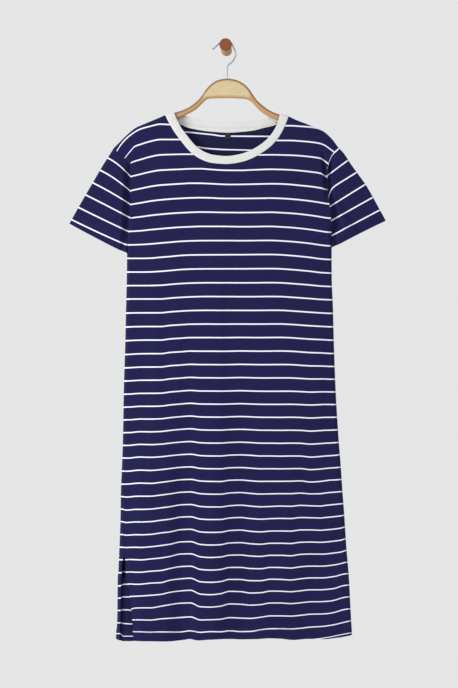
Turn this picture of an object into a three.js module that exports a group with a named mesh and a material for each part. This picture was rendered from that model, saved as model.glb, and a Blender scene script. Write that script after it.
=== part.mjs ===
// A striped t-shirt dress on a wooden hanger that hangs from a round wall peg.
// Millimetres. X runs to the viewer's right, Z up, Y into the wall, whose face is Y = 0.
// The origin is the middle of the peg's flat back.
import * as THREE from 'three';

// Cloth and seams
const CLOTH = 1.3;
const HEM_CLOTH = 2.4;
const SEAM = 0.3;
const BAND_PROUD = 0.5;
const BAND_CLOTH = 2.4;
const BAND_GAP = 0.8;
const TAPE_CLOTH = 1.0;
const LABEL_CLOTH = 0.3;

// The plane of the hanger, the shoulder seams and the side seams
const MIDDLE_Y = -28;
// Radius in which the cloth turns over the hanger's arm and round each side, and half a seam on it
const ROLL = 8.2;
const SEAM_ANGLE = SEAM / 2 / ROLL;
// Share of the front folds that the sides and the back follow
const BACK_SHARE = 0.35;

// Levels of the body, from the armpits to the hem
const ARMPIT_Z = -425;
// Height above the armpits over which the side roll turns into the armhole seam
const ARMPIT_BLEND = 45;
const SLIT_Z = -1125;
const HEM_STITCH_Z = -1278;
const HEM_Z = -1300;
const LEVELS = [ARMPIT_Z, -480, -540, -600, -660, -720, -780, -840, -900, -960, -1015, -1070, SLIT_Z,
  -1165, -1205, -1245, HEM_STITCH_Z, HEM_Z];
const HEM_STITCH_ROW = LEVELS.indexOf(HEM_STITCH_Z);
// Rows above the armpits, the first ones on the turn over the shoulder, and columns on each side turn
const UPPER_ROWS = 11;
const ROLL_ANGLES = [SEAM_ANGLE, Math.PI / 6, Math.PI / 3, Math.PI / 2];
// Step along the cloth that gives the normal at a panel's edge
const EDGE_STEP = 0.5;
const SIDE_ANGLES = [0, Math.PI / 8, Math.PI / 4, 3 * Math.PI / 8, Math.PI / 2];

// Silhouette of the body below the armpits
const SIDES = [
  { z: -425, left: -217, right: 229.5 },
  { z: -505, left: -218, right: 229.2 },
  { z: -576, left: -219.8, right: 232.2 },
  { z: -646, left: -221.2, right: 234.8 },
  { z: -752, left: -224.5, right: 238.2 },
  { z: -858, left: -226.7, right: 244.5 },
  { z: -963, left: -228.2, right: 253 },
  { z: -1034, left: -231, right: 257.8 },
  { z: -1104, left: -234, right: 262.5 },
  { z: -1175, left: -237.2, right: 268 },
  { z: -1245, left: -238.4, right: 273 },
  { z: -1300, left: -241, right: 277.5 },
];

// Half depths of the body before the folds
const DEPTHS = [
  { z: -140, front: 8.2, back: 8.2 },
  { z: -300, front: 9.5, back: 8 },
  { z: -425, front: 11, back: 8 },
  { z: -700, front: 13, back: 8 },
  { z: -1300, front: 14, back: 8 },
];

// Panel edges at the sides, in millimetres round the cloth from the silhouette towards the front
const EDGES = [
  { z: -960, frontLeft: 0, backLeft: 0, frontRight: 0, backRight: 0 },
  { z: -1015, frontLeft: 5, backLeft: 5, frontRight: 0, backRight: 0 },
  { z: -1070, frontLeft: 14, backLeft: 14, frontRight: 0, backRight: 0 },
  { z: -1125, frontLeft: 20, backLeft: 20, frontRight: 0, backRight: 0 },
  { z: -1172, frontLeft: 27, backLeft: 12.5, frontRight: 5, backRight: -1 },
  { z: -1237, frontLeft: 35.5, backLeft: 12, frontRight: 8, backRight: -1 },
  { z: -1300, frontLeft: 43, backLeft: 12, frontRight: 10, backRight: -1 },
];

// Vertical folds: middle, half width, height towards the viewer, level where each begins, and
// how far its middle moves sideways on the way to the hem
const FOLDS = [
  { x: -190, width: 46, high: 8, from: -620, drift: 0 },
  { x: -106, width: 34, high: -6, from: -640, drift: 6 },
  { x: -42, width: 26, high: 9, from: -480, drift: 8 },
  { x: 20, width: 20, high: -4, from: -620, drift: 4 },
  { x: 78, width: 32, high: 7, from: -560, drift: -4 },
  { x: 140, width: 30, high: -3, from: -700, drift: 6 },
  { x: 232, width: 50, high: -6, from: -760, drift: 10 },
];

// Hem line
const HEM = [
  { x: -245, z: -1300.5 },
  { x: -110, z: -1301.5 },
  { x: 0, z: -1299.5 },
  { x: 96, z: -1297 },
  { x: 150, z: -1299.5 },
  { x: 215, z: -1294.5 },
  { x: 280, z: -1290 },
];

// Armhole seams from the shoulder tips to the armpits
const ARMHOLES = [
  { z: -223.4, left: -246.5, right: 244.5 },
  { z: -232, left: -238.6, right: 235.8 },
  { z: -247, left: -221.5, right: 227 },
  { z: -258, left: -209, right: 223.6 },
  { z: -286, left: -206.6, right: 221.7 },
  { z: -317, left: -209, right: 221.7 },
  { z: -350, left: -210.8, right: 225 },
  { z: -385, left: -213.6, right: 228.2 },
  { z: -425, left: -217, right: 229.5 },
];

// Shoulder seams, each from its tip to the neck
const SHOULDER_LEFT = [
  { x: -246.5, z: -223.4 },
  { x: -235.5, z: -212.4 },
  { x: -220.1, z: -197 },
  { x: -199, z: -179.5 },
  { x: -180.5, z: -170.6 },
  { x: -159, z: -161.4 },
];
const SHOULDER_RIGHT = [
  { x: 156, z: -163 },
  { x: 174, z: -170.6 },
  { x: 193, z: -179.2 },
  { x: 213.7, z: -188.6 },
  { x: 230, z: -204 },
  { x: 244.5, z: -223.4 },
];

// Neckband: its seam, its free edge, and how far the cloth has rolled over the arm, in degrees
const NECK_FRONT = [
  { seamX: -135.5, seamZ: -150.3, edgeX: -115.3, edgeZ: -144.6, roll: 0 },
  { seamX: -135, seamZ: -151.1, edgeX: -114.8, edgeZ: -145, roll: 30 },
  { seamX: -133.8, seamZ: -153.6, edgeX: -113.8, edgeZ: -148, roll: 60 },
  { seamX: -132, seamZ: -157.8, edgeX: -112, edgeZ: -153.5, roll: 90 },
  { seamX: -117, seamZ: -185, edgeX: -101, edgeZ: -176, roll: 90 },
  { seamX: -102, seamZ: -206, edgeX: -87.5, edgeZ: -195, roll: 90 },
  { seamX: -79, seamZ: -233, edgeX: -66.5, edgeZ: -219.5, roll: 90 },
  { seamX: -57, seamZ: -248.5, edgeX: -47.5, edgeZ: -232.5, roll: 90 },
  { seamX: -32, seamZ: -257, edgeX: -27.5, edgeZ: -239, roll: 90 },
  { seamX: 0, seamZ: -259.5, edgeX: 0, edgeZ: -241.5, roll: 90 },
  { seamX: 31, seamZ: -255.5, edgeX: 26.5, edgeZ: -238, roll: 90 },
  { seamX: 54, seamZ: -248, edgeX: 46, edgeZ: -232, roll: 90 },
  { seamX: 79, seamZ: -234, edgeX: 69, edgeZ: -220, roll: 90 },
  { seamX: 97, seamZ: -221, edgeX: 84.5, edgeZ: -208.5, roll: 90 },
  { seamX: 116, seamZ: -199, edgeX: 101, edgeZ: -190, roll: 90 },
  { seamX: 127, seamZ: -179, edgeX: 110, edgeZ: -174, roll: 90 },
  { seamX: 134.5, seamZ: -160.8, edgeX: 115.5, edgeZ: -158, roll: 90 },
  { seamX: 136.3, seamZ: -156.1, edgeX: 116.8, edgeZ: -151.4, roll: 60 },
  { seamX: 137, seamZ: -153.7, edgeX: 117.4, edgeZ: -148.7, roll: 30 },
  { seamX: 137.3, seamZ: -153, edgeX: 117.5, edgeZ: -148, roll: 0 },
];
const NECK_BACK = [
  { seamX: -134.3, seamZ: -151.4, edgeX: -114.8, edgeZ: -144.9, roll: 30 },
  { seamX: -131, seamZ: -153.6, edgeX: -113, edgeZ: -145.4, roll: 60 },
  { seamX: -126, seamZ: -157, edgeX: -109.5, edgeZ: -146, roll: 90 },
  { seamX: -110, seamZ: -163.5, edgeX: -97.5, edgeZ: -147.5, roll: 90 },
  { seamX: -92, seamZ: -170, edgeX: -83, edgeZ: -152, roll: 90 },
  { seamX: -70, seamZ: -175.5, edgeX: -65, edgeZ: -157.5, roll: 90 },
  { seamX: -38, seamZ: -180, edgeX: -36, edgeZ: -162, roll: 90 },
  { seamX: 0, seamZ: -181.5, edgeX: 0, edgeZ: -163.5, roll: 90 },
  { seamX: 38, seamZ: -180.2, edgeX: 36, edgeZ: -162.5, roll: 90 },
  { seamX: 72, seamZ: -176.5, edgeX: 67, edgeZ: -159.3, roll: 90 },
  { seamX: 95, seamZ: -172, edgeX: 86.5, edgeZ: -155, roll: 90 },
  { seamX: 112, seamZ: -167, edgeX: 100, edgeZ: -151.5, roll: 90 },
  { seamX: 130, seamZ: -159.8, edgeX: 112, edgeZ: -149.5, roll: 90 },
  { seamX: 134.6, seamZ: -156.2, edgeX: 115, edgeZ: -149, roll: 60 },
  { seamX: 136.5, seamZ: -154.1, edgeX: 116.8, edgeZ: -148.4, roll: 30 },
];

// Tape inside the back of the neck and the bare size label under it
const TAPE_OVER_BAND = 3;
const TAPE_BELOW_SEAM = 8;
const TAPE_ENDS_X = 118;
const LABEL = { left: -1, right: 10.5, top: -186, bottom: -202 };

// Sleeves: the fold along the top from the shoulder tip to the hem, and the hem's inner end
const SLEEVE_LEFT = {
  fold: [
    { x: -246.5, z: -223.4 },
    { x: -252.5, z: -233.5 },
    { x: -268.5, z: -258.7 },
    { x: -299.4, z: -311.5 },
    { x: -326, z: -357 },
    { x: -344.5, z: -390.5 },
  ],
  inner: { x: -218.9, z: -454.5 },
};
const SLEEVE_RIGHT = {
  fold: [
    { x: 244.5, z: -223.4 },
    { x: 256, z: -236 },
    { x: 270.9, z: -258.7 },
    { x: 308.4, z: -311.5 },
    { x: 330, z: -350 },
    { x: 349, z: -383.5 },
  ],
  inner: { x: 231, z: -442.5 },
};
// Shares of a sleeve's length: its rows, its hem, the dip beside the seam, the start of its flat part
const SLEEVE_HEM = 0.87;
const SLEEVE_ROWS = [0, 0.07, 0.16, 0.3, 0.45, 0.6, 0.74, SLEEVE_HEM, 1];
const SLEEVE_DIP_END = 0.35;
const SLEEVE_FLAT_FROM = 0.3;
const SLEEVE_HALF_DEPTH = 9;
// Half depth of the body's edge at which a sleeve has its full depth
const SLEEVE_FULL_AT = 8;
const SLEEVE_DIP = 3.5;
const SLEEVE_GAP = 1;

// Hanger: its outline from the right tip over the top to the left tip, then back below
const HANGER_THICK = 9;
const HANGER_ROUND_Y = 3.2;
const HANGER_ROUND_Z = 2.2;
const HANGER_TOP = [
  { x: 216, z: -199 }, { x: 213, z: -193.2 }, { x: 206, z: -188.2 }, { x: 191.7, z: -181.6 },
  { x: 174, z: -173.3 }, { x: 152, z: -163.8 }, { x: 137.3, z: -156.3 }, { x: 117.5, z: -151.1 },
  { x: 97, z: -144 }, { x: 79, z: -133 }, { x: 66, z: -121 }, { x: 57, z: -107 }, { x: 49, z: -93.5 },
  { x: 38, z: -82.5 }, { x: 22, z: -74.5 }, { x: 2, z: -71.5 }, { x: -17, z: -74 },
  { x: -33, z: -83 }, { x: -44.5, z: -95.5 }, { x: -53, z: -110 }, { x: -66, z: -124 },
  { x: -84, z: -137 }, { x: -101, z: -144 }, { x: -115.3, z: -147.5 }, { x: -135.5, z: -153.5 },
  { x: -159, z: -163.6 }, { x: -180.5, z: -172.9 }, { x: -198, z: -181.8 }, { x: -206, z: -189.2 },
  { x: -210.5, z: -195.5 },
];
const HANGER_LOW = [
  { x: -211, z: -202 }, { x: -204, z: -206 }, { x: -190, z: -198.5 }, { x: -160, z: -180 },
  { x: -130, z: -164.5 }, { x: -109, z: -158 }, { x: -90, z: -149.5 }, { x: -68, z: -135 },
  { x: -52, z: -122.5 }, { x: -40, z: -116 }, { x: -20, z: -113.3 }, { x: 2, z: -112.8 },
  { x: 30, z: -114.2 }, { x: 53, z: -116.5 }, { x: 66, z: -130 }, { x: 86, z: -146.5 },
  { x: 108, z: -159 }, { x: 130, z: -167 }, { x: 160, z: -181 }, { x: 192, z: -198 },
  { x: 207, z: -205.5 }, { x: 215.5, z: -204 },
];

// Hook: the middle line of its wire, from the hanger over the peg to the tip
const WIRE_RADIUS = 1.6;
const WIRE_SIDES = 8;
const WIRE_STEPS = 34;
const WIRE = [
  { x: 2.1, z: -71.2 }, { x: 2.1, z: -58 }, { x: 2.1, z: -47 }, { x: 3.4, z: -41 },
  { x: 8, z: -36.6 }, { x: 15.2, z: -30 }, { x: 19.8, z: -22.6 }, { x: 21.2, z: -15 },
  { x: 18.9, z: -7 }, { x: 15, z: 0.6 }, { x: 10.4, z: 10 }, { x: 0, z: 14.3 }, { x: -10, z: 11.6 },
  { x: -18, z: 4.9 }, { x: -21.7, z: -0.4 }, { x: -25, z: -3.4 }, { x: -30.7, z: -4.3 },
];

// Wall peg: radius along its length, from the wall outwards
const PEG_SIDES = 24;
const PEG = [
  { out: 0, radius: 12.5 }, { out: 12, radius: 12.2 }, { out: 28, radius: 12.1 },
  { out: 40, radius: 12.5 }, { out: 47, radius: 13.3 }, { out: 49.3, radius: 12.7 },
  { out: 50, radius: 11.4 },
];

const COLOURS = {
  jersey: { color: 0x25254d, roughness: 0.9 },
  rib: { color: 0xe6e6e2, roughness: 0.9 },
  tape: { color: 0xdededb, roughness: 0.9 },
  label: { color: 0x141417, roughness: 0.8 },
  wood: { color: 0xdcbf92, roughness: 0.45 },
  steel: { color: 0xa6a8aa, roughness: 0.25, metalness: 1 },
  pegWood: { color: 0x8b573c, roughness: 0.5 },
};

const mix = (a, b, t) => a + (b - a) * t;
const clamp01 = (t) => Math.min(1, Math.max(0, t));
const smooth = (t) => clamp01(t) ** 2 * (3 - 2 * clamp01(t));

// Straight interpolation in a table whose key rises or falls steadily
function look(rows, key, column, at) {
  const rising = rows[1][key] > rows[0][key];
  let i = 1;
  while (i < rows.length - 1 && (rising ? at > rows[i][key] : at < rows[i][key])) i += 1;
  const a = rows[i - 1];
  const b = rows[i];
  return mix(a[column], b[column], clamp01((at - a[key]) / (b[key] - a[key])));
}

// Height of the folds towards the viewer
function foldHeight(x, z) {
  let high = 0;
  for (const fold of FOLDS) {
    const down = smooth((fold.from - z) / (fold.from - HEM_Z));
    const away = (x - fold.x - fold.drift * down) / fold.width;
    high += fold.high * down * Math.exp(-away * away);
  }
  return high;
}

// Y of the cloth's outer face. facing is 1 on the front, 0 at a side or shoulder, -1 on the back.
function clothY(x, z, facing) {
  const half = look(DEPTHS, 'z', facing >= 0 ? 'front' : 'back', z);
  const share = mix(BACK_SHARE, 1, Math.max(facing, 0));
  return MIDDLE_Y - half * facing - share * foldHeight(x, z);
}

// A place round the body at one level, by its distance round the cloth from the left silhouette
// towards the front. own is 1 on the flat front, 0 at a silhouette and below 0 past it.
function roundBody(distance, width) {
  const whole = width - 2 * ROLL + Math.PI * ROLL;
  const fromLeft = distance < whole / 2;
  const near = fromLeft ? distance : whole - distance;
  const angle = Math.min(Math.abs(near) / ROLL, Math.PI / 2);
  const inset = ROLL * (1 - Math.cos(angle)) + Math.max(Math.abs(near) - ROLL * Math.PI / 2, 0);
  return { inset: fromLeft ? inset : width - inset, own: Math.sign(near) * Math.sin(angle) };
}

function bodyPoint(distance, z, side, levelZ) {
  const left = look(SIDES, 'z', 'left', levelZ);
  const width = look(SIDES, 'z', 'right', levelZ) - left;
  const place = roundBody(distance, width);
  const x = left + place.inset;
  return new THREE.Vector3(x, clothY(x, z, side * place.own), z);
}

// Distances round the cloth of a panel's columns at one level
function columnDistances(columns, levelZ, side) {
  const width = look(SIDES, 'z', 'right', levelZ) - look(SIDES, 'z', 'left', levelZ);
  const whole = width - 2 * ROLL + Math.PI * ROLL;
  const name = side > 0 ? 'front' : 'back';
  const first = side * look(EDGES, 'z', `${name}Left`, levelZ) + SEAM / 2;
  const last = side * look(EDGES, 'z', `${name}Right`, levelZ) + SEAM / 2;
  const turns = SIDE_ANGLES.length - 1;
  const list = [];
  for (let j = 0; j <= columns; j += 1) {
    const nearest = Math.min(j, columns - j);
    let base = ROLL * SIDE_ANGLES[Math.min(nearest, turns)];
    if (nearest > turns) base = mix(base, whole / 2, (nearest - turns) / (columns / 2 - turns));
    const even = j <= columns / 2 ? base : whole - base;
    list.push(first + even * (whole - first - last) / whole);
  }
  return list;
}

// Outer points of the front (side 1) or back (side -1) panel, a row of columns at each level
function panelPoints(side, neck) {
  const top = [
    ...SHOULDER_LEFT.map((p) => ({ ...p, roll: 0 })),
    ...neck.map((p) => ({ x: p.seamX, z: p.seamZ, roll: THREE.MathUtils.degToRad(p.roll) })),
    ...SHOULDER_RIGHT.map((p) => ({ ...p, roll: 0 })),
  ];
  const columns = top.length - 1;
  const reach = SHOULDER_LEFT.length;
  const armpitRow = columnDistances(columns, ARMPIT_Z, side)
    .map((d) => bodyPoint(d, ARMPIT_Z, side, ARMPIT_Z));
  const armpitPlaces = columnDistances(columns, ARMPIT_Z, side)
    .map((d) => roundBody(d, SIDES[0].right - SIDES[0].left).own);
  const rows = [];
  for (let i = 0; i < UPPER_ROWS; i += 1) {
    const turned = ROLL_ANGLES[Math.min(i, ROLL_ANGLES.length - 1)];
    const part = (i - ROLL_ANGLES.length + 1) / (UPPER_ROWS - ROLL_ANGLES.length + 1);
    const dropAt = (height) => (part <= 0 ? ROLL * (1 - Math.cos(turned)) : mix(ROLL, height, part));
    rows.push(top.map((tip, j) => {
      const foot = armpitRow[j];
      const height = tip.z - ARMPIT_Z;
      const drop = dropAt(height);
      const z = tip.z - drop;
      let x = mix(tip.x, foot.x, drop / height);
      const onLeft = j < columns / 2;
      const inward = Math.min(j, columns - j);
      if (inward < reach) {
        const end = onLeft ? top[0] : top[columns];
        const endDrop = dropAt(end.z - ARMPIT_Z);
        const edgeX = look(ARMHOLES, 'z', onLeft ? 'left' : 'right', end.z - endDrop);
        const straightX = mix(end.x, (onLeft ? armpitRow[0] : armpitRow[columns]).x,
          endDrop / (end.z - ARMPIT_Z));
        x += (edgeX - straightX) * (1 - inward / reach);
      }
      const below = ROLL * (1 - Math.cos(tip.roll)) + drop;
      const rolled = Math.sqrt(1 - (1 - Math.min(below / ROLL, 1)) ** 2);
      const sideways = mix(armpitPlaces[j], 1, smooth((z - ARMPIT_Z) / ARMPIT_BLEND));
      return new THREE.Vector3(x, clothY(x, z, side * rolled * sideways), z);
    }));
  }
  for (const level of LEVELS) {
    rows.push(columnDistances(columns, level, side).map((d) => {
      const flat = bodyPoint(d, level, side, level);
      const z = mix(ARMPIT_Z, look(HEM, 'x', 'z', flat.x), (level - ARMPIT_Z) / (HEM_Z - ARMPIT_Z));
      return bodyPoint(d, z, side, level);
    }));
  }
  return rows;
}

// Outward unit normals of a grid of points
function gridNormals(rows, side, closed) {
  return rows.map((row, i) => row.map((point, j) => {
    const count = row.length;
    const before = closed ? row[(j + count - 1) % count] : row[Math.max(j - 1, 0)];
    const after = closed ? row[(j + 1) % count] : row[Math.min(j + 1, count - 1)];
    const above = rows[Math.max(i - 1, 0)][j];
    const below = rows[Math.min(i + 1, rows.length - 1)][j];
    const across = after.clone().sub(before);
    const down = below.clone().sub(above);
    return across.cross(down).multiplyScalar(-side).normalize();
  }));
}

// Normals of a panel, with those on a shared seam the same on both panels
function panelNormals(rows, side, neck) {
  const normals = gridNormals(rows, side, false);
  const last = rows[0].length - 1;
  const flatten = (normal) => normal.setY(0).normalize();
  for (let j = 0; j <= last; j += 1) {
    const neckRow = neck[j - SHOULDER_LEFT.length];
    if (!neckRow || neckRow.roll === 0) flatten(normals[0][j]);
  }
  LEVELS.forEach((level, k) => {
    const i = UPPER_ROWS + k;
    const distances = columnDistances(last, level, side);
    for (const j of [0, last]) {
      const z = rows[i][j].z;
      const near = bodyPoint(distances[j] - EDGE_STEP, z, side, level);
      const far = bodyPoint(distances[j] + EDGE_STEP, z, side, level);
      const across = far.sub(near);
      normals[i][j].set(across.y, -across.x, 0).multiplyScalar(side).normalize();
    }
  });
  return normals;
}

// A closed wall between outer points and the same points moved in along their normals
function wall(rows, normals, thickness, side, closed) {
  const high = rows.length;
  const wide = rows[0].length;
  const positions = [];
  rows.flat().forEach((p) => positions.push(p.x, p.y, p.z));
  rows.forEach((row, i) => row.forEach((p, j) => {
    const q = p.clone().addScaledVector(normals[i][j], -thickness(i, j));
    positions.push(q.x, q.y, q.z);
  }));
  const outer = (i, j) => i * wide + (j % wide);
  const inner = (i, j) => high * wide + outer(i, j);
  const faces = [];
  const quad = (a, b, c, d) => {
    const order = side > 0 ? [a, b, c, a, c, d] : [a, c, b, a, d, c];
    faces.push(...order);
  };
  const spans = closed ? wide : wide - 1;
  for (let i = 0; i < high - 1; i += 1) {
    for (let j = 0; j < spans; j += 1) {
      quad(outer(i + 1, j), outer(i + 1, j + 1), outer(i, j + 1), outer(i, j));
      quad(inner(i, j), inner(i, j + 1), inner(i + 1, j + 1), inner(i + 1, j));
    }
  }
  for (let j = 0; j < spans; j += 1) {
    quad(outer(0, j), outer(0, j + 1), inner(0, j + 1), inner(0, j));
    quad(inner(high - 1, j), inner(high - 1, j + 1), outer(high - 1, j + 1), outer(high - 1, j));
  }
  if (!closed) {
    for (let i = 0; i < high - 1; i += 1) {
      quad(outer(i + 1, 0), outer(i, 0), inner(i, 0), inner(i + 1, 0));
      quad(inner(i + 1, wide - 1), inner(i, wide - 1), outer(i, wide - 1), outer(i + 1, wide - 1));
    }
  }
  const geometry = new THREE.BufferGeometry();
  geometry.setAttribute('position', new THREE.Float32BufferAttribute(positions, 3));
  geometry.setIndex(faces);
  return geometry;
}

const group = new THREE.Group();

function add(name, geometry, colour) {
  const mesh = new THREE.Mesh(geometry, new THREE.MeshStandardMaterial(COLOURS[colour]));
  mesh.name = name;
  group.add(mesh);
  return mesh;
}

// Body panels
const neckEnds = [NECK_FRONT[0], NECK_FRONT[NECK_FRONT.length - 1]];
const backNeck = [neckEnds[0], ...NECK_BACK, neckEnds[1]];
const panels = {
  front: { side: 1, neck: NECK_FRONT },
  back: { side: -1, neck: backNeck },
};
for (const panel of Object.values(panels)) {
  panel.rows = panelPoints(panel.side, panel.neck);
  panel.normals = panelNormals(panel.rows, panel.side, panel.neck);
  panel.wallAt = (i) => (i >= UPPER_ROWS + HEM_STITCH_ROW ? HEM_CLOTH : CLOTH);
}
for (const [name, panel] of Object.entries(panels)) {
  add(`${name}_panel`, wall(panel.rows, panel.normals, panel.wallAt, panel.side, false), 'jersey');
}

// A point part of the way along a short line of points
function along(points, part) {
  const path = new THREE.CurvePath();
  for (let i = 1; i < points.length; i += 1) {
    const a = points[i - 1];
    const b = points[i];
    path.add(new THREE.LineCurve3(new THREE.Vector3(a.x, 0, a.z), new THREE.Vector3(b.x, 0, b.z)));
  }
  return path.getPoint(part);
}

// A sleeve: a flat tube from the armhole edges of both panels to its hem
function sleeve(shape, onLeft) {
  const last = onLeft ? 0 : panels.front.rows[0].length - 1;
  const lastBack = onLeft ? 0 : panels.back.rows[0].length - 1;
  const seam = [];
  for (let i = 0; i <= UPPER_ROWS; i += 1) {
    seam.push({ point: panels.front.rows[i][last], normal: panels.front.normals[i][last], side: 1 });
  }
  for (let i = UPPER_ROWS - 1; i > 0; i -= 1) {
    seam.push({ point: panels.back.rows[i][lastBack], normal: panels.back.normals[i][lastBack], side: -1 });
  }
  const outward = onLeft ? -1 : 1;
  const ends = [seam[0], seam[UPPER_ROWS]];
  ends.forEach((end) => { end.side = 0; });
  const seamLength = ends[0].point.z - ends[1].point.z;
  const hem = [shape.fold[shape.fold.length - 1], shape.inner];
  const moved = ({ x, z }) => ({ x: x + SLEEVE_GAP * outward, z });
  const tip = moved(ends[0].point);
  const armpit = moved(ends[1].point);
  const rows = SLEEVE_ROWS.map((down) => seam.map(({ point, side }) => {
    const part = (tip.z - point.z) / seamLength;
    const root = moved(point);
    const foldAt = along(shape.fold, down);
    foldAt.x += SLEEVE_GAP * outward * (1 - down);
    const place = (axis) => mix(root[axis], mix(hem[0][axis], hem[1][axis], part), down)
      + mix(foldAt[axis], mix(armpit[axis], hem[1][axis], down), part)
      - mix(mix(tip[axis], armpit[axis], part), mix(hem[0][axis], hem[1][axis], part), down);
    const x = place('x');
    const z = place('z');
    const half = Math.abs(point.y - MIDDLE_Y);
    const fullness = side === 0 ? 0 : Math.min(half / SLEEVE_FULL_AT, 1);
    const dip = side * SLEEVE_DIP * Math.sin(Math.PI * clamp01(down / SLEEVE_DIP_END)) * fullness;
    const rest = MIDDLE_Y - side * SLEEVE_HALF_DEPTH * fullness;
    const start = side === 0 ? MIDDLE_Y : point.y;
    return new THREE.Vector3(x, mix(start, rest, smooth(down / SLEEVE_FLAT_FROM)) + dip, z);
  }));
  const side = onLeft ? 1 : -1;
  const normals = gridNormals(rows, side, true);
  seam.forEach(({ normal }, j) => {
    if (j !== UPPER_ROWS) normals[0][j].copy(normal);
  });
  const wallAt = (k) => (SLEEVE_ROWS[k] >= SLEEVE_HEM ? HEM_CLOTH : CLOTH);
  return wall(rows, normals, wallAt, side, true);
}
add('left_sleeve', sleeve(SLEEVE_LEFT, true), 'jersey');
add('right_sleeve', sleeve(SLEEVE_RIGHT, false), 'jersey');

// Neckband: a ring of folded rib between its seam and its free edge
function neckband() {
  const ring = [
    ...NECK_FRONT.map((p) => ({ ...p, side: 1 })),
    ...[...NECK_BACK].reverse().map((p) => ({ ...p, side: -1 })),
  ];
  const seat = (p, x, z) => {
    const facing = p.side * Math.sin(THREE.MathUtils.degToRad(p.roll));
    return new THREE.Vector3(x, clothY(x, z, facing), z);
  };
  const seams = ring.map((p) => seat(p, p.seamX, p.seamZ));
  const edges = ring.map((p) => seat(p, p.edgeX, p.edgeZ));
  const count = ring.length;
  const positions = [];
  const faces = [];
  seams.forEach((seam, i) => {
    const tangent = seams[(i + 1) % count].clone().sub(seams[(i + count - 1) % count]).normalize();
    const width = edges[i].clone().sub(seam);
    const out = tangent.clone().cross(width).normalize();
    const inward = width.clone().normalize();
    const start = seam.clone().addScaledVector(inward, BAND_GAP);
    const corners = [
      start.clone().addScaledVector(out, BAND_PROUD),
      edges[i].clone().addScaledVector(out, BAND_PROUD),
      edges[i].clone().addScaledVector(out, BAND_PROUD - BAND_CLOTH),
      start.clone().addScaledVector(out, BAND_PROUD - BAND_CLOTH),
    ];
    corners.forEach((p) => positions.push(p.x, p.y, p.z));
    for (let k = 0; k < 4; k += 1) {
      const a = i * 4 + k;
      const b = i * 4 + (k + 1) % 4;
      const c = ((i + 1) % count) * 4 + (k + 1) % 4;
      const d = ((i + 1) % count) * 4 + k;
      faces.push(a, d, c, a, c, b);
    }
  });
  const geometry = new THREE.BufferGeometry();
  geometry.setAttribute('position', new THREE.Float32BufferAttribute(positions, 3));
  geometry.setIndex(faces);
  return geometry;
}
add('neckband', neckband(), 'rib');

// Flat strips inside the back of the neck, made from the back panel's outer face moved in
function insideStrip(edges, inFront, thick) {
  const rows = [0, 1].map((k) => edges.map((edge) => {
    const z = mix(edge.top, edge.bottom, k);
    return new THREE.Vector3(edge.x, clothY(edge.x, z, -1) - inFront, z);
  }));
  const normals = rows.map((row) => row.map(() => new THREE.Vector3(0, 1, 0)));
  return wall(rows, normals, () => thick, -1, false);
}
const tapeEdges = NECK_BACK.filter((p) => p.roll === 90 && Math.abs(p.seamX) < TAPE_ENDS_X)
  .map((p) => ({ x: p.seamX, top: p.seamZ + TAPE_OVER_BAND, bottom: p.seamZ - TAPE_BELOW_SEAM }));
const tapeInFront = BAND_CLOTH - BAND_PROUD + SEAM;
add('neck_tape', insideStrip(tapeEdges, tapeInFront, TAPE_CLOTH), 'tape');
const labelEdges = [LABEL.left, LABEL.right].map((x) => ({ x, top: LABEL.top, bottom: LABEL.bottom }));
add('size_label', insideStrip(labelEdges, CLOTH + SEAM, LABEL_CLOTH), 'label');

// Hanger
function hanger() {
  const outline = new THREE.Shape([...HANGER_TOP, ...HANGER_LOW].map((p) => new THREE.Vector2(p.x, p.z)));
  const geometry = new THREE.ExtrudeGeometry(outline, {
    depth: HANGER_THICK - 2 * HANGER_ROUND_Y,
    steps: 1,
    bevelThickness: HANGER_ROUND_Y,
    bevelSize: HANGER_ROUND_Z,
    bevelOffset: -HANGER_ROUND_Z,
    bevelSegments: 2,
    curveSegments: 1,
  });
  geometry.translate(0, 0, -HANGER_THICK / 2 + HANGER_ROUND_Y);
  geometry.rotateX(Math.PI / 2);
  return geometry.translate(0, MIDDLE_Y, 0);
}
add('hanger', hanger(), 'wood');

function hook() {
  const path = new THREE.CatmullRomCurve3(WIRE.map((p) => new THREE.Vector3(p.x, MIDDLE_Y, p.z)));
  const section = new THREE.Shape();
  for (let i = 0; i < WIRE_SIDES; i += 1) {
    const angle = 2 * Math.PI * i / WIRE_SIDES;
    const x = WIRE_RADIUS * Math.cos(angle);
    const y = WIRE_RADIUS * Math.sin(angle);
    if (i === 0) section.moveTo(x, y);
    else section.lineTo(x, y);
  }
  return new THREE.ExtrudeGeometry(section, { steps: WIRE_STEPS, extrudePath: path, bevelEnabled: false });
}
add('hook', hook(), 'steel');

function peg() {
  const profile = [new THREE.Vector2(0, 0), ...PEG.map((p) => new THREE.Vector2(p.radius, p.out)),
    new THREE.Vector2(0, PEG[PEG.length - 1].out)];
  return new THREE.LatheGeometry(profile, PEG_SIDES).rotateZ(Math.PI);
}
add('wall_peg', peg(), 'pegWood');

export default group;
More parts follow.
